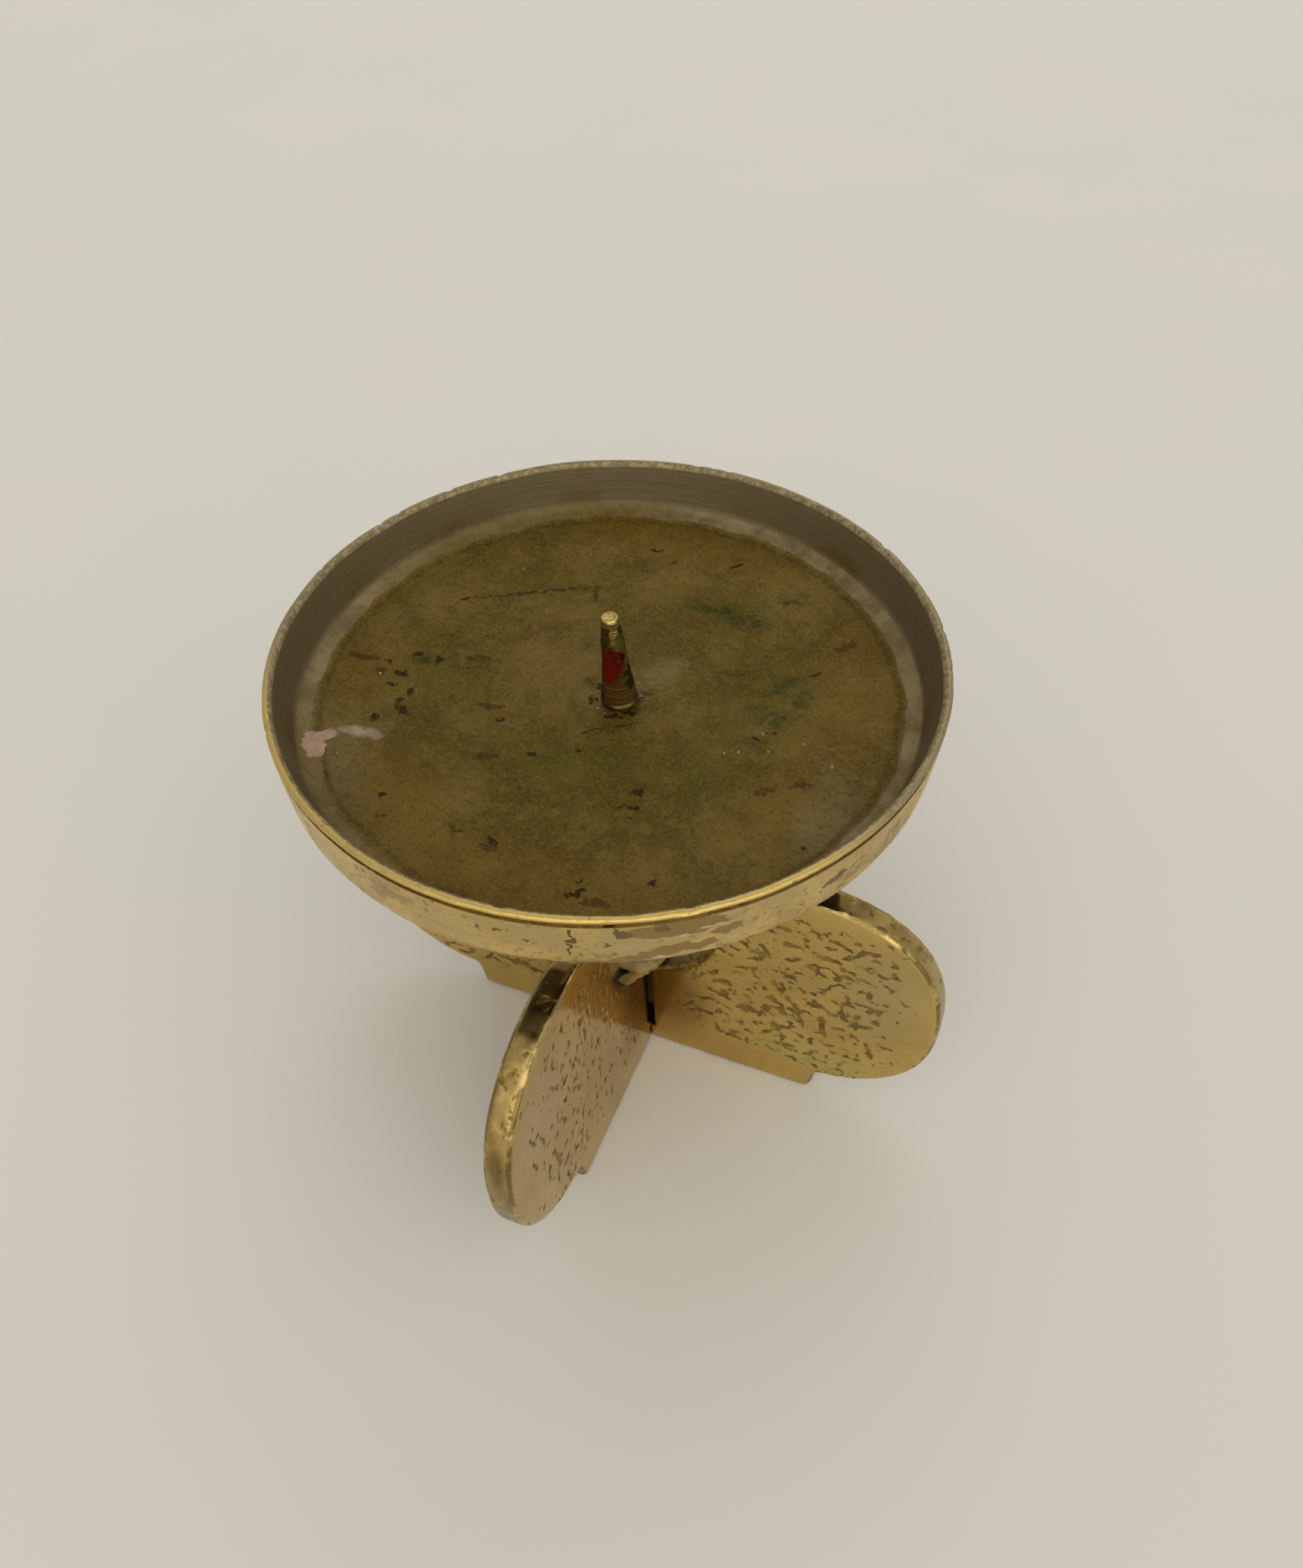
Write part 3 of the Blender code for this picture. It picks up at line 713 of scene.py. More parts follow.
# The base: two flat plates of 5 mm cast brass with petal-shaped ends, sawn and filed to
# shape, slotted half way and pushed into each other. Their faces are pitted from the mould,
# their edges filed bright and worn round.
VOXEL = 0.0004
PLATE_HALF = 0.0025
CROSSING_ANGLE = math.radians(-89.2)
SADDLE_HEIGHT = 39.5            # mm, the centre of the round saddle between two petals
WORM_MARKS = {
    "long_plate": [
        (28.6, 28.6, 2.6, 0.75, -52), (32.2, 23.0, 3.0, 0.6, -75), (39.9, 29.0, 1.7, 0.55, -85),
        (44.0, 31.6, 2.6, 0.5, -4), (43.6, 25.3, 1.2, 0.9, 20), (45.4, 18.8, 1.7, 0.6, -75),
        (13.4, 19.0, 2.4, 0.6, 14), (17.0, 21.8, 2.0, 0.55, -20), (39.2, 46.4, 1.5, 0.7, -30),
        (22.2, 32.4, 2.2, 0.5, 20), (36.8, 27.4, 2.3, 0.6, -35), (30.6, 42.6, 1.3, 0.8, 0),
        (28.5, 17.0, 1.4, 0.6, 45), (29.8, 12.2, 1.6, 0.7, 10), (27.6, 46.6, 2.0, 0.6, 5),
        (24.6, 38.0, 1.7, 0.9, 10), (12.4, 14.2, 2.2, 0.5, 18), (19.5, 9.5, 3.2, 0.5, -8),
        (34.6, 37.6, 1.6, 0.7, -40), (40.6, 38.4, 0.9, 0.9, 0), (37.0, 33.4, 1.8, 0.6, 60),
        (-25.2, 10.4, 1.6, 0.9, 0), (-29.0, 11.0, 1.2, 0.7, 0), (-21.6, 9.9, 1.0, 0.9, 0),
        (-32.6, 9.8, 1.3, 0.5, 60),
    ],
    "cross_plate": [
        (42.6, 21.2, 3.2, 0.6, 80), (45.8, 32.4, 1.6, 0.5, 70), (38.6, 27.2, 1.8, 0.5, 65),
        (33.0, 28.4, 1.5, 0.5, 60), (23.8, 28.8, 1.2, 0.5, 80), (40.0, 39.0, 1.9, 0.45, 60),
        (48.6, 36.1, 1.7, 0.45, 70), (49.2, 29.7, 1.5, 0.5, 75), (16.4, 15.2, 1.3, 0.5, 75),
    ],
}
SLOT_SIDE = 2.95                # mm, where the slot's sides stand in the CAD plate
SLOT_GAP = (0.26, 0.12)         # mm left beside the cross plate, at the bottom and at the top


def between_numbers(low, high, share):
    return low + (high - low) * share


def worm(across, up, mark):
    """How far inside a short stroke a point is: 1 on its middle line, below 0 outside."""
    middle_x, middle_z, reach, width, turn = mark
    turn = math.radians(turn)
    aside, above = across - middle_x, up - middle_z
    along = aside * math.cos(turn) + above * math.sin(turn)
    sideways = above * math.cos(turn) - aside * math.sin(turn)
    beyond = max(0.0, abs(along) - reach)
    return 1.0 - math.hypot(beyond, sideways) / width


def fine_skin(thing, voxel):
    """The thing's shape again as one even fine skin, to work on."""
    remesh = thing.modifiers.new("fine_skin", "REMESH")
    remesh.mode = "VOXEL"
    remesh.voxel_size = voxel
    evaluated = thing.evaluated_get(bpy.context.evaluated_depsgraph_get())
    skin = bpy.data.meshes.new_from_object(evaluated)
    thing.modifiers.clear()
    builder = bmesh.new()
    builder.from_mesh(skin)
    return builder, skin


def rub(builder, verts, passes):
    """Round the corners off, as handling and filing do."""
    for _ in range(passes):
        bmesh.ops.smooth_vert(
            builder, verts=verts, factor=0.5, use_axis_x=True, use_axis_y=True, use_axis_z=True,
        )


def put_on(thing, builder, skin, material):
    """Give a thing its finished skin."""
    builder.to_mesh(skin)
    builder.free()
    skin.materials.clear()
    skin.materials.append(material)
    skin.shade_smooth()
    thing.data = skin


def cast_plate(node, name, material, streaked, seed):
    """A fine, worn and pitted copy of a plate's own shape."""
    turn = Matrix.Rotation(CROSSING_ANGLE if node == "cross_plate" else 0.0, 4, "Z")
    builder = bmesh.new()
    builder.from_mesh(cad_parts[node].data)
    bmesh.ops.remove_doubles(builder, verts=builder.verts, dist=1e-5)
    builder.transform(turn.inverted())
    plate = add_object(name, builder, material)
    builder, skin = fine_skin(plate, VOXEL)
    builder.normal_update()
    worn = [vert for vert in builder.verts if abs(vert.normal.y) < 0.93]
    ends = [vert for vert in worn if vert.co.x > 0.040 or wave(vert.co, 0.012, seed) > 0.1]
    rub(builder, worn, 2)
    rub(builder, ends, 0 if streaked else 4)
    builder.normal_update()
    pit_layer = builder.verts.layers.float.new("pit")
    arris_layer = builder.verts.layers.float.new("arris")
    edge_layer = builder.verts.layers.float.new("edge")
    marks = WORM_MARKS[node]
    front_side = 1 if node == "cross_plate" else -1
    squeeze = Vector((1.0, 1.0, 0.5)) if streaked else Vector((0.85, 1.0, 1.0))
    size = 0.0011 if streaked else 0.0016
    sparse = 0.36 if streaked else 0.25
    for vert in builder.verts:
        start = vert.co.copy()
        side = vert.normal.y
        flat = abs(side) > 0.97
        if flat:
            vert.co.y = math.copysign(PLATE_HALF, start.y)
        across, up = start.x / MM, start.z / MM
        if node == "long_plate":
            # The slot's sides stand nearer the cross plate at the top than at the bottom.
            gap = between_numbers(SLOT_GAP[0], SLOT_GAP[1], soft(up, 2.0, 24.0))
            closing = (SLOT_SIDE - PLATE_HALF / MM - gap) * (1 - soft(abs(across), 3.3, 4.6))
            if abs(across) > 2.5:
                vert.co.x -= math.copysign(closing * MM, start.x)
        spot = Vector((start.x * squeeze.x, start.y, start.z * squeeze.z))
        crowd = 0.20 * wave(spot, 0.008, seed + 2)
        blobs = wave(spot, size, seed + 1) + 0.45 * wave(spot, size * 0.45, seed + 10) + crowd - sparse
        gaps = min(0.0, wave(spot, size * 1.2, seed + 4) + crowd - 0.30)
        worms = 0.10 - abs(wave(spot, size * 1.9, seed + 3)) + gaps
        field = max(blobs * 2.6, worms * 3.0)
        field -= 1.6 * soft(abs(across), 46, 56) + 1.8 * soft(-up, -9.0, -4.0) + 1.6 * soft(up, 48, 56)
        field -= 1.2 * soft(-abs(across), -12.0, -5.0)
        if side * front_side > 0.5 or node == "long_plate" and side < 0:
            for mark in marks:
                if abs(across - mark[0]) < 5 and abs(up - mark[1]) < 5:
                    stroke = 0.8 * worm(across, up, mark) + 0.55 * wave(start, 0.0011, seed + 9) - 0.1
                    field = max(field, stroke)
        if not flat:
            field = (wave(start, 0.0013, seed + 5) + 0.4 * wave(start, 0.006, seed + 11) - 0.42) * 2.0
        depth = 0.00018 * soft(field, -0.05, 0.6)
        swell = 0.00003 * wave(start, 0.012, seed + 6) + 0.000012 * wave(start, 0.004, seed + 7)
        rough = 0.00004 * wave(start, 0.0022, seed + 8) * (0.0 if flat else 1.0)
        vert.co += vert.normal * (swell + rough - depth)
        vert[pit_layer] = field
        vert[arris_layer] = soft(abs(side), 0.10, 0.40) * soft(-abs(side), -0.98, -0.85)
        vert[edge_layer] = soft(-abs(side), -0.55, -0.25)
    builder.transform(turn)
    put_on(plate, builder, skin, material)
    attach(plate, "root")
    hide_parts(node)


PIT_OLIVE = (0.300, 0.190, 0.040)
PIT_DARK = (0.150, 0.100, 0.026)
PIT_HALO = (0.40, 0.29, 0.11)
ARRIS_BRIGHT = (0.70, 0.52, 0.21)
ARRIS_GRIME = (0.11, 0.068, 0.016)
EDGE_BRIGHT = (0.50, 0.355, 0.120)
EDGE_DULL = (0.345, 0.235, 0.075)
EDGE_BROWN = (0.165, 0.105, 0.028)


def plate_material(name, turn, tints, edge_tints, bright, dull, streak, flux):
    """Pale brass with brown pits; tints are (marks, softness, colour, strength), and some of them are
    painted shade and light.
    """
    material, tree, shader, point = new_material(name)
    own = place(tree, "Mapping", {"Vector": point, "Rotation": (0, 0, -turn)}).outputs[0]
    stretched = place(tree, "Mapping", {"Vector": own, "Scale": (1, 1, streak)}).outputs[0]
    ragged = wander(tree, own, 0.003, 0.003)
    frayed = wander(tree, own, 0.0006, 0.0008)
    cast = brass(tree, stretched, bright, dull, 0.0005, 0.42)
    tone = cast["Color"]
    for marks, softness, colour, strength in tints:
        mask = patches(tree, ragged if softness > 0.3 else frayed, marks, softness)
        tone = tint(tree, tone, colour, mask, strength)
    # The sawn and filed edges are duller than the faces, with brown patches.
    edge = told(tree, "edge")
    edge_tone = lay(
        tree, EDGE_BRIGHT, EDGE_DULL, rise(tree, grain(tree, own, 0.0035, 4.0, 0.7), 0.40, 0.58),
    )
    edge_tone = lay(
        tree, edge_tone, EDGE_BROWN, rise(tree, grain(tree, own, 0.0016, 5.0, 0.75), 0.56, 0.66),
    )
    tone = tint(tree, tone, edge_tone, edge, 0.85)
    # Patches on the edges; on the long plate the second one is a painted highlight.
    for marks, softness, colour, strength in edge_tints:
        mask = times(tree, patches(tree, ragged, marks, softness), edge)
        tone = tint(tree, tone, colour, mask, strength)
    # The saddles are dull with old flux.
    place_in_plate = place(tree, "SeparateXYZ", {"Vector": own}).outputs
    aside = reckon(tree, "POWER", place_in_plate["X"], 2.0)
    rise_up = minus(tree, place_in_plate["Z"], SADDLE_HEIGHT * MM)
    from_saddle = reckon(tree, "SQRT", plus(tree, aside, reckon(tree, "POWER", rise_up, 2.0)))
    saddle = rise(tree, from_saddle, 0.01668, 0.01612)
    tone = tint(tree, tone, flux, saddle, 0.9)
    pit_field = told(tree, "pit")
    pit_edge = plus(tree, pit_field, centred(tree, grain(tree, own, 0.00055, 4.0, 0.7), 2.8))
    pits = rise(tree, pit_edge, -0.02, 0.34)
    pit_clouds = rise(tree, grain(tree, own, 0.0013, 3.0), 0.40, 0.62)
    pit_tone = lay(tree, PIT_OLIVE, PIT_DARK, pit_clouds)
    tone = tint(tree, tone, pit_tone, pits, 0.92)
    halo = times(tree, rise(tree, pit_edge, -0.5, 0.0), 0.25)
    tone = tint(tree, tone, PIT_HALO, halo, minus(tree, 1.0, pits))
    arris = told(tree, "arris")
    worn = times(tree, arris, rise(tree, grain(tree, own, 0.0022, 3.0), 0.30, 0.55))
    tone = tint(tree, tone, ARRIS_BRIGHT, worn, 0.35)
    grimy = rise(tree, grain(tree, own, 0.004, 4.0, 0.7), 0.58, 0.46)
    dark_arris = times(tree, rise(tree, arris, 0.35, 0.9), grimy)
    tone = tint(tree, tone, ARRIS_GRIME, dark_arris, 0.7)
    join(tree, tone, shader["Base Color"])
    join(tree, between(tree, 1.0, 0.88, pits), shader["Metallic"])
    face_rough = between(tree, 0.13, 0.22, cast["Haze"])
    edge_rough = between(tree, 0.22, 0.36, cast["Haze"])
    smooth = between(tree, face_rough, edge_rough, edge)
    rough = between(tree, smooth, 0.5, reckon(tree, "MAXIMUM", pits, times(tree, saddle, 0.8)))
    join(tree, rough, shader["Roughness"])
    depth = minus(tree, times(tree, cast["Height"], 0.35), pits)
    join(tree, bump(tree, depth, 0.00008, 0.5), shader["Normal"])
    return material


LONG_TINTS_AND_SHADE = [                  # the first is the dark line of the slot
    # Painted shade: the first tint darkens the gap of the slot beside the cross plate.
    ([(2.60, 0, 14, 0.11, 4, 11, 0)], 0.15, (0.05, 0.014, 0.004), 1.0),
    ([(36, -2.5, 11, 11, 4, 3.4, 0), (31, -2.5, 10.5, 7, 4, 2.6, 0)], 0.6, (0.56, 0.52, 0.17), 0.55),
    ([(18, -2.5, 5.5, 13, 4, 3.2, 0)], 0.6, (0.56, 0.365, 0.110), 0.5),
    ([(9, -2.5, 3, 6, 4, 2.2, 0), (26, -2.5, 2.2, 10, 4, 1.6, 0)], 0.5, (0.55, 0.355, 0.120), 0.35),
    # Painted shade and reflection: a dark brown-gold patch in the corner where the plates cross.
    ([(5, -2.5, 17, 9, 4, 11, 0)], 0.6, (0.235, 0.125, 0.008), 0.9),
    ([(47, -2.5, 36, 6, 4, 12, 0)], 0.6, (0.50, 0.40, 0.22), 0.5),
]
LONG_EDGE_TINTS_AND_HIGHLIGHT = [
    ([(38, 0, 56, 7, 3, 3, 0)], 0.5, (0.20, 0.135, 0.045), 0.8),
    # Painted highlight: a pale gold patch on the right petal's outer edge.
    ([(54, 0, 40, 3, 3, 8, 0)], 0.5, (0.48, 0.36, 0.16), 0.6),
]
CROSS_TINTS_AND_SHADE = [
    ([(44, 2.5, 38, 9, 3, 9, 0)], 0.6, (0.62, 0.46, 0.27), 0.5),
    # Painted shade and reflection: the dark brown-gold patch on the other side of that corner.
    ([(6, 2.5, 18, 9, 3, 10, 0)], 0.6, (0.250, 0.140, 0.008), 0.9),
]
CROSS_EDGE_TINTS = [
    ([(52.4, 0, 24.5, 4.0, 3, 6.0, 0)], 0.5, (0.20, 0.175, 0.115), 0.85),
    ([(55.5, 0, 38.0, 3.0, 1.2, 5.0, 0)], 0.6, (0.17, 0.105, 0.030), 0.7),
    ([(55.0, 1.5, 30.0, 3.0, 1.0, 4.0, 0)], 0.5, (0.19, 0.120, 0.035), 0.7),
]
long_brass = plate_material(
    "long_plate_brass", 0.0, LONG_TINTS_AND_SHADE, LONG_EDGE_TINTS_AND_HIGHLIGHT, (0.66, 0.475, 0.155),
    (0.56, 0.400, 0.122), 1.0, (0.330, 0.270, 0.115),
)
cross_brass = plate_material(
    "cross_plate_brass", CROSSING_ANGLE, CROSS_TINTS_AND_SHADE, CROSS_EDGE_TINTS, (0.60, 0.425, 0.160),
    (0.49, 0.345, 0.125), 0.4, (0.115, 0.078, 0.020),
)
cast_plate("long_plate", "brass_long_plate", long_brass, False, 20)
cast_plate("cross_plate", "brass_cross_plate", cross_brass, True, 40)


# The stem: a slim turned brass post, flared to a flange under the dish. It stands in the
# saddle where the plates cross, and the spike's shank is pressed into its top.
PRICKET_FOOT = Vector((0.0006, -0.0006, 0.0881))
STEM_FOOT = Vector((0, 0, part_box("stem")[0].z))
STEM_TURN = (PRICKET_FOOT - STEM_FOOT).to_track_quat("Z", "Y").to_matrix().to_4x4()
STEM_PLACE = Matrix.Translation(PRICKET_FOOT) @ STEM_TURN
stem_length = (PRICKET_FOOT - STEM_FOOT).length / MM
STEM_OUTLINE = [
    (2.3, -2.0), (9.0, -2.0), (9.0, -3.9), (8.2, -4.05), (6.9, -4.75), (5.75, -5.9), (4.85, -7.4),
    (4.25, -9.4), (4.0, -11.4), (4.0, -30.0), (3.93, -30.6), (4.0, -31.2),
    (4.0, -stem_length + 0.1), (0.0, -stem_length + 0.1),
]
STEM_BRIGHT = (0.56, 0.42, 0.20)
STEM_DULL = (0.40, 0.28, 0.12)
STEM_LINES = (0.25, 0.165, 0.07)
STEM_GRIME = (0.19, 0.16, 0.09)
stem_brass, tree, shader, point = new_material("stem_brass")
cast = brass(tree, point, STEM_BRIGHT, STEM_DULL, 0.0006, 0.5)
stem_height = told(tree, "height")
lathe_lines = turning_lines(tree, stem_height, 3.0, 4.0)
tone = tint(tree, cast["Color"], STEM_LINES, rise(tree, lathe_lines, 0.5, 0.7), 0.5)
tone = lay(tree, tone, STEM_GRIME, rise(tree, stem_height, -stem_length + 9, -stem_length + 3))
join(tree, tone, shader["Base Color"])
shader["Metallic"].default_value = 0.9
join(tree, between(tree, 0.28, 0.5, cast["Haze"]), shader["Roughness"])
join(tree, bump(tree, plus(tree, lathe_lines, cast["Height"]), 0.00008, 0.6), shader["Normal"])
builder, radius_layer, height_layer = turned(spaced(STEM_OUTLINE, 1.2), 96, closed=False)
under_dish = STEM_PLACE.inverted() @ DISH_PLACE
seat = [vert for vert in builder.verts if vert[height_layer] > -2.1]
slope = under_dish.to_3x3() @ Vector((0, 0, 1))
level = under_dish @ Vector((0, 0, -0.01182))
for vert in seat:
    vert.co.z = level.z - (slope.x * (vert.co.x - level.x) + slope.y * (vert.co.y - level.y)) / slope.z
open_edges = [edge for edge in builder.edges if edge.is_boundary]
bmesh.ops.holes_fill(builder, edges=open_edges)
for vert in builder.verts:
    if vert[height_layer] < -4.5:
        vert.co += Vector((vert.co.x, vert.co.y, 0)).normalized() * 0.00005 * wave(vert.co, 0.004, 60)
bmesh.ops.recalc_face_normals(builder, faces=builder.faces)
builder.transform(STEM_PLACE)
stem = add_object("brass_stem", builder, stem_brass)
stem.data.shade_smooth()
stem.data.set_sharp_from_angle(angle=math.radians(40))
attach(stem, "root")
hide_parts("stem")


# The spike: a turned brass taper with a blunt bright end and a shoulder that clamps the dish.
# Old red and green candle wax has dried on it, and its shank goes down into the stem.
PRICKET_TIP = Vector((0.0003, -0.0011, 0.1045))
spike_height = (PRICKET_TIP - PRICKET_FOOT).length / MM
SPIKE_OUTLINE = [
    (0.0, spike_height - 0.12), (0.75, spike_height - 0.10), (1.05, spike_height),
    (1.22, spike_height - 0.1), (1.31, spike_height - 0.38), (1.42, spike_height - 1.4),
    (1.62, spike_height - 4.2), (1.98, 7.6),
    (2.34, 4.4), (2.6, 1.9), (2.66, 1.45), (2.56, 1.32), (2.84, 1.12), (2.86, 0.7),
    (2.76, 0.45), (2.0, 0.42),
]
SHANK = [(2.0, -11.0), (0.0, -11.0)]
TAPER_BRIGHT = (0.075, 0.042, 0.006)
TAPER_DULL = (0.024, 0.013, 0.002)
LINES_RED = (0.125, 0.042, 0.004)
LINES_BRASS = (0.190, 0.130, 0.018)
GREEN_WAX = (0.080, 0.074, 0.006)
RED_WAX = (0.150, 0.003, 0.002)
RED_WAX_DEEP = (0.040, 0.003, 0.001)
BLACK_WAX = (0.010, 0.005, 0.001)
FOOT_DIRT = (0.020, 0.016, 0.004)
BARE_BRIGHT = (0.60, 0.44, 0.150)
BARE_DULL = (0.42, 0.295, 0.085)
pricket_brass, tree, shader, point = new_material("pricket_brass")
height = told(tree, "height")
frayed = wander(tree, point, 0.0009, 0.0024)
cast = brass(tree, point, TAPER_BRIGHT, TAPER_DULL, 0.0004, 0.6)
fray = centred(tree, grain(tree, point, 0.0009, 4.0, 0.65), 4.5)
frayed_height = plus(tree, height, fray)
tone = cast["Color"]
lathe_lines = turning_lines(tree, plus(tree, height, times(tree, fray, 0.03)), 2.0, 2.0)
lined = times(tree, rise(tree, frayed_height, 5.2, 3.4), rise(tree, lathe_lines, 0.42, 0.60))
tone = tint(tree, tone, LINES_RED, lined, 0.85)
thread = times(tree, rise(tree, frayed_height, 5.6, 4.0), rise(tree, lathe_lines, 0.56, 0.66))
tone = tint(tree, tone, LINES_BRASS, thread, 0.75)
# Where the wax is: x, y, z and reaches in mm, and the turn.
WAX_GREEN = [
    (1.6, -1.9, 99.4, 1.5, 1.3, 2.7, 0), (2.0, -1.2, 97.6, 0.9, 0.9, 2.8, 0),
    (0.8, 0.9, 98.0, 1.8, 1.2, 3.0, 0),
]
WAX_RED = [
    (0.9, -2.7, 97.2, 2.2, 1.6, 2.4, 0), (
        -0.4, -2.8, 95.6, 2.4, 2.0, 2.3, 0,
    ), (-1.2, -1.6, 99.0, 1.1, 1.3, 1.5, 0),
    (1.0, 1.8, 94.8, 2.0, 1.2, 2.6, 0),
]
WAX_DARK = [
    (-1.0, -1.9, 99.3, 0.7, 0.8, 0.8, 0), (0.3, -2.3, 102.3, 0.4, 0.5, 0.4, 0), (
        -1.2, -1.2, 101.6, 0.6, 0.8, 0.8, 0,
    ),
    (2.1, -1.6, 97.6, 0.5, 0.8, 0.8, 0), (2.9, -1.0, 93.6, 0.6, 1.2, 2.4, 0), (
        -1.8, -2.6, 90.2, 1.0, 1.3, 2.2, 0,
    ),
    (-1.6, -2.0, 96.4, 0.5, 0.9, 0.8, 0),
]
green_wax = patches(tree, frayed, WAX_GREEN, 0.35)
tone = tint(tree, tone, GREEN_WAX, green_wax, 0.85)
red_wax = gritty(tree, patches(tree, frayed, WAX_RED, 0.5), grain(tree, point, 0.0006, 5.0, 0.8), 2.4)
red_clouds = rise(tree, grain(tree, point, 0.0009, 5.0, 0.75), 0.40, 0.62)
tone = tint(tree, tone, lay(tree, RED_WAX, RED_WAX_DEEP, red_clouds), red_wax, 0.95)
dark_wax = gritty(tree, patches(tree, frayed, WAX_DARK, 0.5), grain(tree, point, 0.0005, 4.0, 0.7), 0.9)
tone = tint(tree, tone, BLACK_WAX, dark_wax, 0.88)
tip_edge = plus(tree, height, times(tree, fray, 0.45))
bare_tip = rise(tree, tip_edge, spike_height - 1.5, spike_height - 0.6)
streak = patches(tree, frayed, [(1.15, -2.1, 102.3, 0.45, 0.8, 1.6, 0)], 0.35)
bare_tip = reckon(tree, "MAXIMUM", bare_tip, times(tree, streak, 0.85))
bare_ring = times(tree, rise(tree, height, 0.80, 0.95), rise(tree, height, 1.25, 1.12))
ring_side = patches(tree, frayed, [(2.3, -2.7, 89.2, 1.5, 1.5, 1.5, 35)], 0.5)
bare_ring = times(tree, bare_ring, ring_side)
bare = reckon(tree, "MAXIMUM", bare_tip, times(tree, bare_ring, 0.45))
foot_dirt = times(tree, rise(tree, frayed_height, 1.9, 1.2), minus(tree, 1.0, ring_side))
tone = tint(tree, tone, FOOT_DIRT, foot_dirt, 0.85)
bare_clouds = rise(tree, grain(tree, point, 0.0006), 0.35, 0.6)
tone = lay(tree, tone, lay(tree, BARE_BRIGHT, BARE_DULL, bare_clouds), bare)
join(tree, tone, shader["Base Color"])
join(tree, between(tree, 0.20, 1.0, bare), shader["Metallic"])
shader["Specular IOR Level"].default_value = 0.25
join(tree, between(tree, between(tree, 0.46, 0.34, red_wax), 0.26, bare), shader["Roughness"])
lumps = plus(tree, times(tree, lathe_lines, 0.8), grain(tree, point, 0.0005, 3.0))
join(tree, bump(tree, lumps, 0.00018, 0.9), shader["Normal"])
builder, radius_layer, height_layer = turned(spaced(SPIKE_OUTLINE, 0.3) + SHANK, 96, closed=False)
lean = STEM_PLACE.inverted() @ PRICKET_TIP
for vert in builder.verts:
    height_mm = vert[height_layer]
    if height_mm > 0.5:
        out = Vector((vert.co.x, vert.co.y, 0))
        crust = soft(height_mm, 2.0, 4.0) * (1 - soft(height_mm, 11.0, 15.0))
        crust *= 0.00013 * (0.4 + wave(vert.co, 0.0022, 70))
        vert.co += out.normalized() * (crust + 0.00004 * wave(vert.co, 0.0009, 71))
        vert.co.x += lean.x * (height_mm - 0.5) / (spike_height - 0.5)
        vert.co.y += lean.y * (height_mm - 0.5) / (spike_height - 0.5)
bmesh.ops.recalc_face_normals(builder, faces=builder.faces)
builder.transform(STEM_PLACE)
pricket = add_object("brass_spike", builder, pricket_brass)
pricket.data.shade_smooth()
pricket.data.set_sharp_from_angle(angle=math.radians(55))
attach(pricket, "root")
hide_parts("pricket")


# The solder: a soft-solder bead round the foot of the stem, with a run that has gone down
# the cross plate's saddle and set there as a flat pale tongue.
SOLDER_PALE = (0.330, 0.225, 0.055)
SOLDER_DARK = (0.205, 0.135, 0.028)
SOLDER_PITS = (0.07, 0.055, 0.02)
solder_grey, tree, shader, point = new_material("old_solder")
ragged = wander(tree, point, 0.0015, 0.001)
solder_clouds = rise(tree, grain(tree, ragged, 0.0012, 4.0), 0.40, 0.62)
tone = lay(tree, SOLDER_PALE, SOLDER_DARK, solder_clouds)
tone = lay(tree, tone, SOLDER_PITS, rise(tree, grain(tree, ragged, 0.0006, 3.0), 0.66, 0.74))
join(tree, tone, shader["Base Color"])
shader["Metallic"].default_value = 0.1
join(tree, between(tree, 0.42, 0.62, grain(tree, point, 0.001)), shader["Roughness"])
join(tree, bump(tree, grain(tree, point, 0.0005, 4.0), 0.0001, 0.7), shader["Normal"])
solder_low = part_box("solder_joint")[0].z
BEAD = [(4.2, 0.0), (5.9, 0.0), (5.9, 0.3), (5.5, 0.7), (5.0, 1.05), (4.6, 1.5), (4.2, 1.6)]
RUN = [
    (4.0, -2.4, 24.2, 1.1), (2.9, -3.8, 24.2, 1.2), (2.2, -4.9, 24.4, 1.2), (1.7, -6.0, 24.9, 1.2),
    (1.4, -7.2, 25.4, 1.3), (1.1, -8.3, 26.1, 1.4), (1.0, -9.2, 26.6, 1.3),
]
builder, radius_layer, height_layer = turned(spaced(BEAD, 0.4), 96, closed=True)
for x, y, z, size in RUN:
    drop = bmesh.ops.create_icosphere(builder, subdivisions=3, radius=size * MM)["verts"]
    bmesh.ops.scale(builder, vec=(0.9, 1.0, 0.5), verts=drop)
    bmesh.ops.translate(builder, vec=(x * MM, y * MM, z * MM - solder_low), verts=drop)
solder = add_object("solder_bead", builder, solder_grey)
builder, skin = fine_skin(solder, 0.00022)
rub(builder, builder.verts, 6)
builder.normal_update()
for vert in builder.verts:
    vert.co += vert.normal * (0.00012 * wave(vert.co, 0.0022, 80) + 0.00004 * wave(vert.co, 0.0008, 81))
builder.transform(Matrix.Translation((0, 0, solder_low)))
put_on(solder, builder, skin, solder_grey)
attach(solder, "root")
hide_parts("solder_joint")


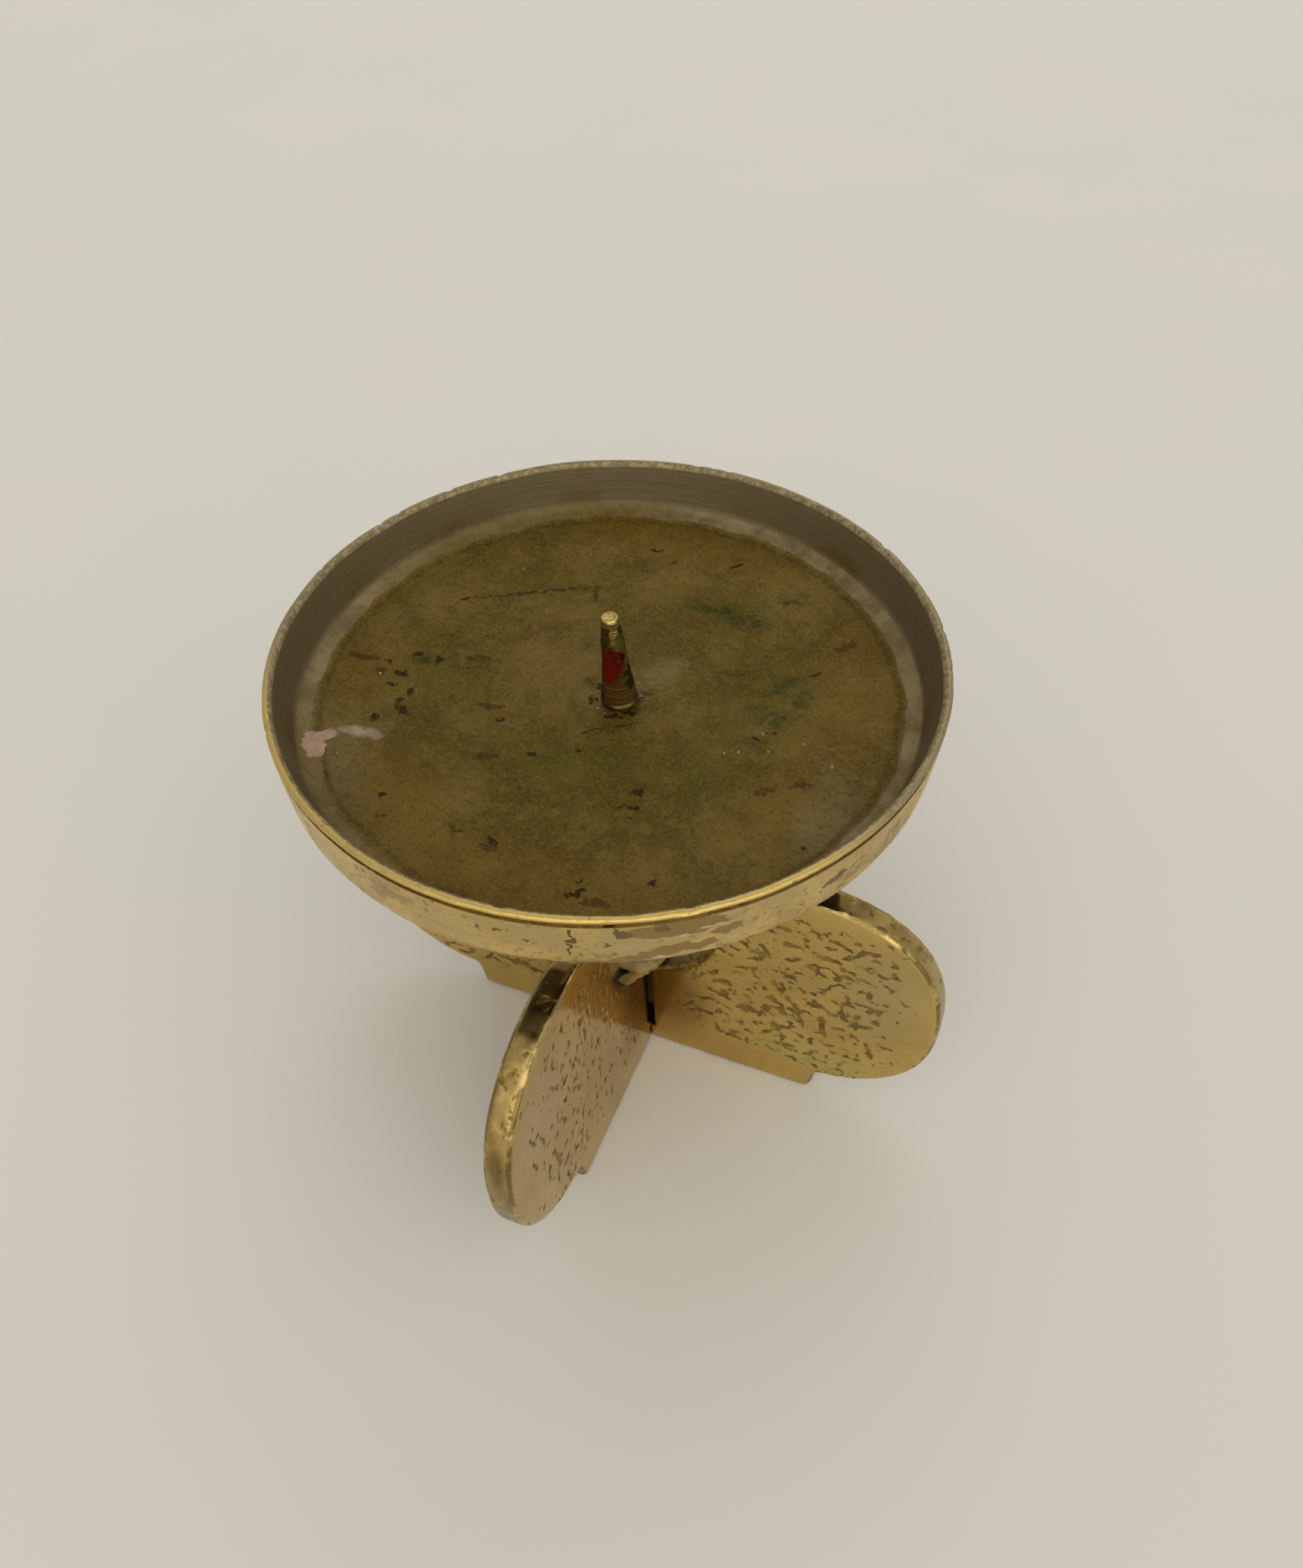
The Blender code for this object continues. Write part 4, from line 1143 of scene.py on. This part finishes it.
# The wax: a thin pinkish smear that ran down to the foot of the dish's wall and set there, and
# pale crumbs of wax and dust round the spike and over the floor. They only stick to the dish.
SMEAR_MIDDLE = (-33.5, -25.6)   # mm, in the dish's own frame, like all the places below
SMEAR = [                       # x, y, reach along and across, turn
    (-35.3, -27.4, 3.2, 1.9, -55), (-35.2, -25.2, 3.0, 1.3, 42), (-34.4, -29.0, 1.7, 1.0, 0),
    (-30.7, -22.1, 4.2, 1.5, 10), (-33.2, -22.6, 1.6, 1.2, 20),
]
CRUMBS = [                      # x, y, size
    (-2.4, 0.3, 0.24), (-2.6, -0.7, 0.16), (-1.9, -1.9, 0.17), (2.6, 4.4, 0.20), (4.2, 1.8, 0.24),
    (4.5, 1.0, 0.18), (-0.8, -3.1, 0.20), (0.5, -3.7, 0.15), (24.0, 1.1, 0.34), (30.4, 1.0, 0.30),
    (35.6, -1.9, 0.32), (20.1, -4.8, 0.26), (22.0, -3.8, 0.26), (26.0, -2.2, 0.24), (-34.6, -9.9, 0.26),
    (-31.4, -27.5, 0.28), (-30.0, -24.6, 0.30), (-26.0, 22.0, 0.22),
]
WAX_PINK_DEEP = (0.320, 0.205, 0.122)
WAX_PINK = (0.430, 0.285, 0.200)
FILM_DARK = (0.205, 0.150, 0.075)
FILM_PALE = (0.330, 0.255, 0.160)
FILM_EDGE = (0.150, 0.100, 0.022)
old_wax, tree, shader, point = new_material("old_wax")
own = in_dish(tree, point)
pale = rise(tree, grain(tree, own, 0.0010, 4.0, 0.7), 0.36, 0.62)
tail = patches(tree, own, [(-30.2, -22.2, -9, 4.6, 3.0, 4, 10)], 0.4)
tone = lay(tree, WAX_PINK_DEEP, WAX_PINK, pale)
tone = lay(tree, tone, lay(tree, FILM_DARK, FILM_PALE, pale), tail)
film = told(tree, "film")
crumbling = centred(tree, grain(tree, own, 0.0006, 4.0, 0.75), 0.9)
thick = rise(tree, plus(tree, film, crumbling), -0.04, between(tree, 0.22, 0.75, tail))
tone = lay(tree, FILM_EDGE, tone, thick)
join(tree, tone, shader["Base Color"])
join(tree, between(tree, 0.48, 0.62, pale), shader["Roughness"])
shader["Specular IOR Level"].default_value = 0.25
join(tree, bump(tree, grain(tree, own, 0.0005, 3.0), 0.00006), shader["Normal"])

builder = bmesh.new()
builder.from_mesh(dish.data)
builder.transform(TO_DISH)
dish_skin = BVHTree.FromBMesh(builder)
builder.free()


def on_dish(x, y):
    """The point on the dish's floor or wall foot under a place, and the way it faces."""
    spot, facing_up, _, _ = dish_skin.ray_cast(Vector((x, y, -0.003)), Vector((0, 0, -1)))
    return spot, facing_up


builder = bmesh.new()
bmesh.ops.create_grid(builder, x_segments=110, y_segments=110, size=0.0080)
film_layer = builder.verts.layers.float.new("film")
bmesh.ops.translate(builder, vec=(SMEAR_MIDDLE[0] * MM, SMEAR_MIDDLE[1] * MM, 0), verts=builder.verts)
bare = []
for vert in builder.verts:
    spot, facing_up = on_dish(vert.co.x, vert.co.y)
    if spot is None or facing_up.z < 0.2:
        bare.append(vert)
        continue
    field = -9.0
    for x, y, along, across, turn in SMEAR:
        away = (vert.co.xy / MM - Vector((x, y))) @ Matrix.Rotation(math.radians(turn), 2)
        field = max(field, 1 - math.hypot(away.x / along, away.y / across))
    flat_spot = Vector((vert.co.x, vert.co.y, 0))
    field += 0.28 * wave(flat_spot, 0.0016, 90) + 0.16 * wave(flat_spot, 0.0006, 91)
    vert[film_layer] = field
    if field < -0.06:
        bare.append(vert)
    thickness = 0.12 * soft(field, 0.0, 0.5) * (1 + 0.4 * wave(flat_spot, 0.0010, 92)) - 0.02
    vert.co = spot + facing_up * thickness * MM
bmesh.ops.delete(builder, geom=bare, context="VERTS")
bmesh.ops.solidify(builder, geom=builder.faces, thickness=0.00005)
bmesh.ops.recalc_face_normals(builder, faces=builder.faces)
builder.transform(DISH_PLACE)
smear = add_object("wax_smear", builder, old_wax)
smear.data.shade_smooth()
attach(smear, "root")

CRUMB_DARK = (0.165, 0.125, 0.045)
CRUMB_PALE = (0.300, 0.245, 0.125)
crumb_wax, tree, shader, point = new_material("wax_crumbs")
crumb_clouds = rise(tree, grain(tree, point, 0.0009, 3.0), 0.38, 0.60)
tone = lay(tree, CRUMB_DARK, CRUMB_PALE, crumb_clouds)
join(tree, tone, shader["Base Color"])
join(tree, between(tree, 0.45, 0.65, grain(tree, point, 0.0006)), shader["Roughness"])
join(tree, bump(tree, grain(tree, point, 0.0002, 3.0), 0.00004), shader["Normal"])
dice = random.Random(7)
scattered = [
    (distance * math.cos(turn), distance * math.sin(turn), dice.uniform(0.05, 0.11))
    for distance, turn in ((dice.uniform(6, 42), dice.uniform(0, math.tau)) for _ in range(70))
]
builder = bmesh.new()
for number, (x, y, size) in enumerate(CRUMBS + scattered):
    spot, facing_up = on_dish(x * MM, y * MM)
    fineness = 2 if number < len(CRUMBS) else 1
    lump = bmesh.ops.create_icosphere(builder, subdivisions=fineness, radius=size * MM)["verts"]
    for vert in lump:
        vert.co *= 1 + 0.7 * wave(vert.co, size * MM * 1.1, 100 + number)
        vert.co.z *= 0.55
    bmesh.ops.rotate(builder, cent=(0, 0, 0), matrix=Matrix.Rotation(number, 3, "Z"), verts=lump)
    bmesh.ops.translate(builder, vec=spot + facing_up * size * 0.25 * MM, verts=lump)
bmesh.ops.recalc_face_normals(builder, faces=builder.faces)
builder.transform(DISH_PLACE)
crumbs = add_object("wax_crumbs", builder, crumb_wax)
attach(crumbs, "root")
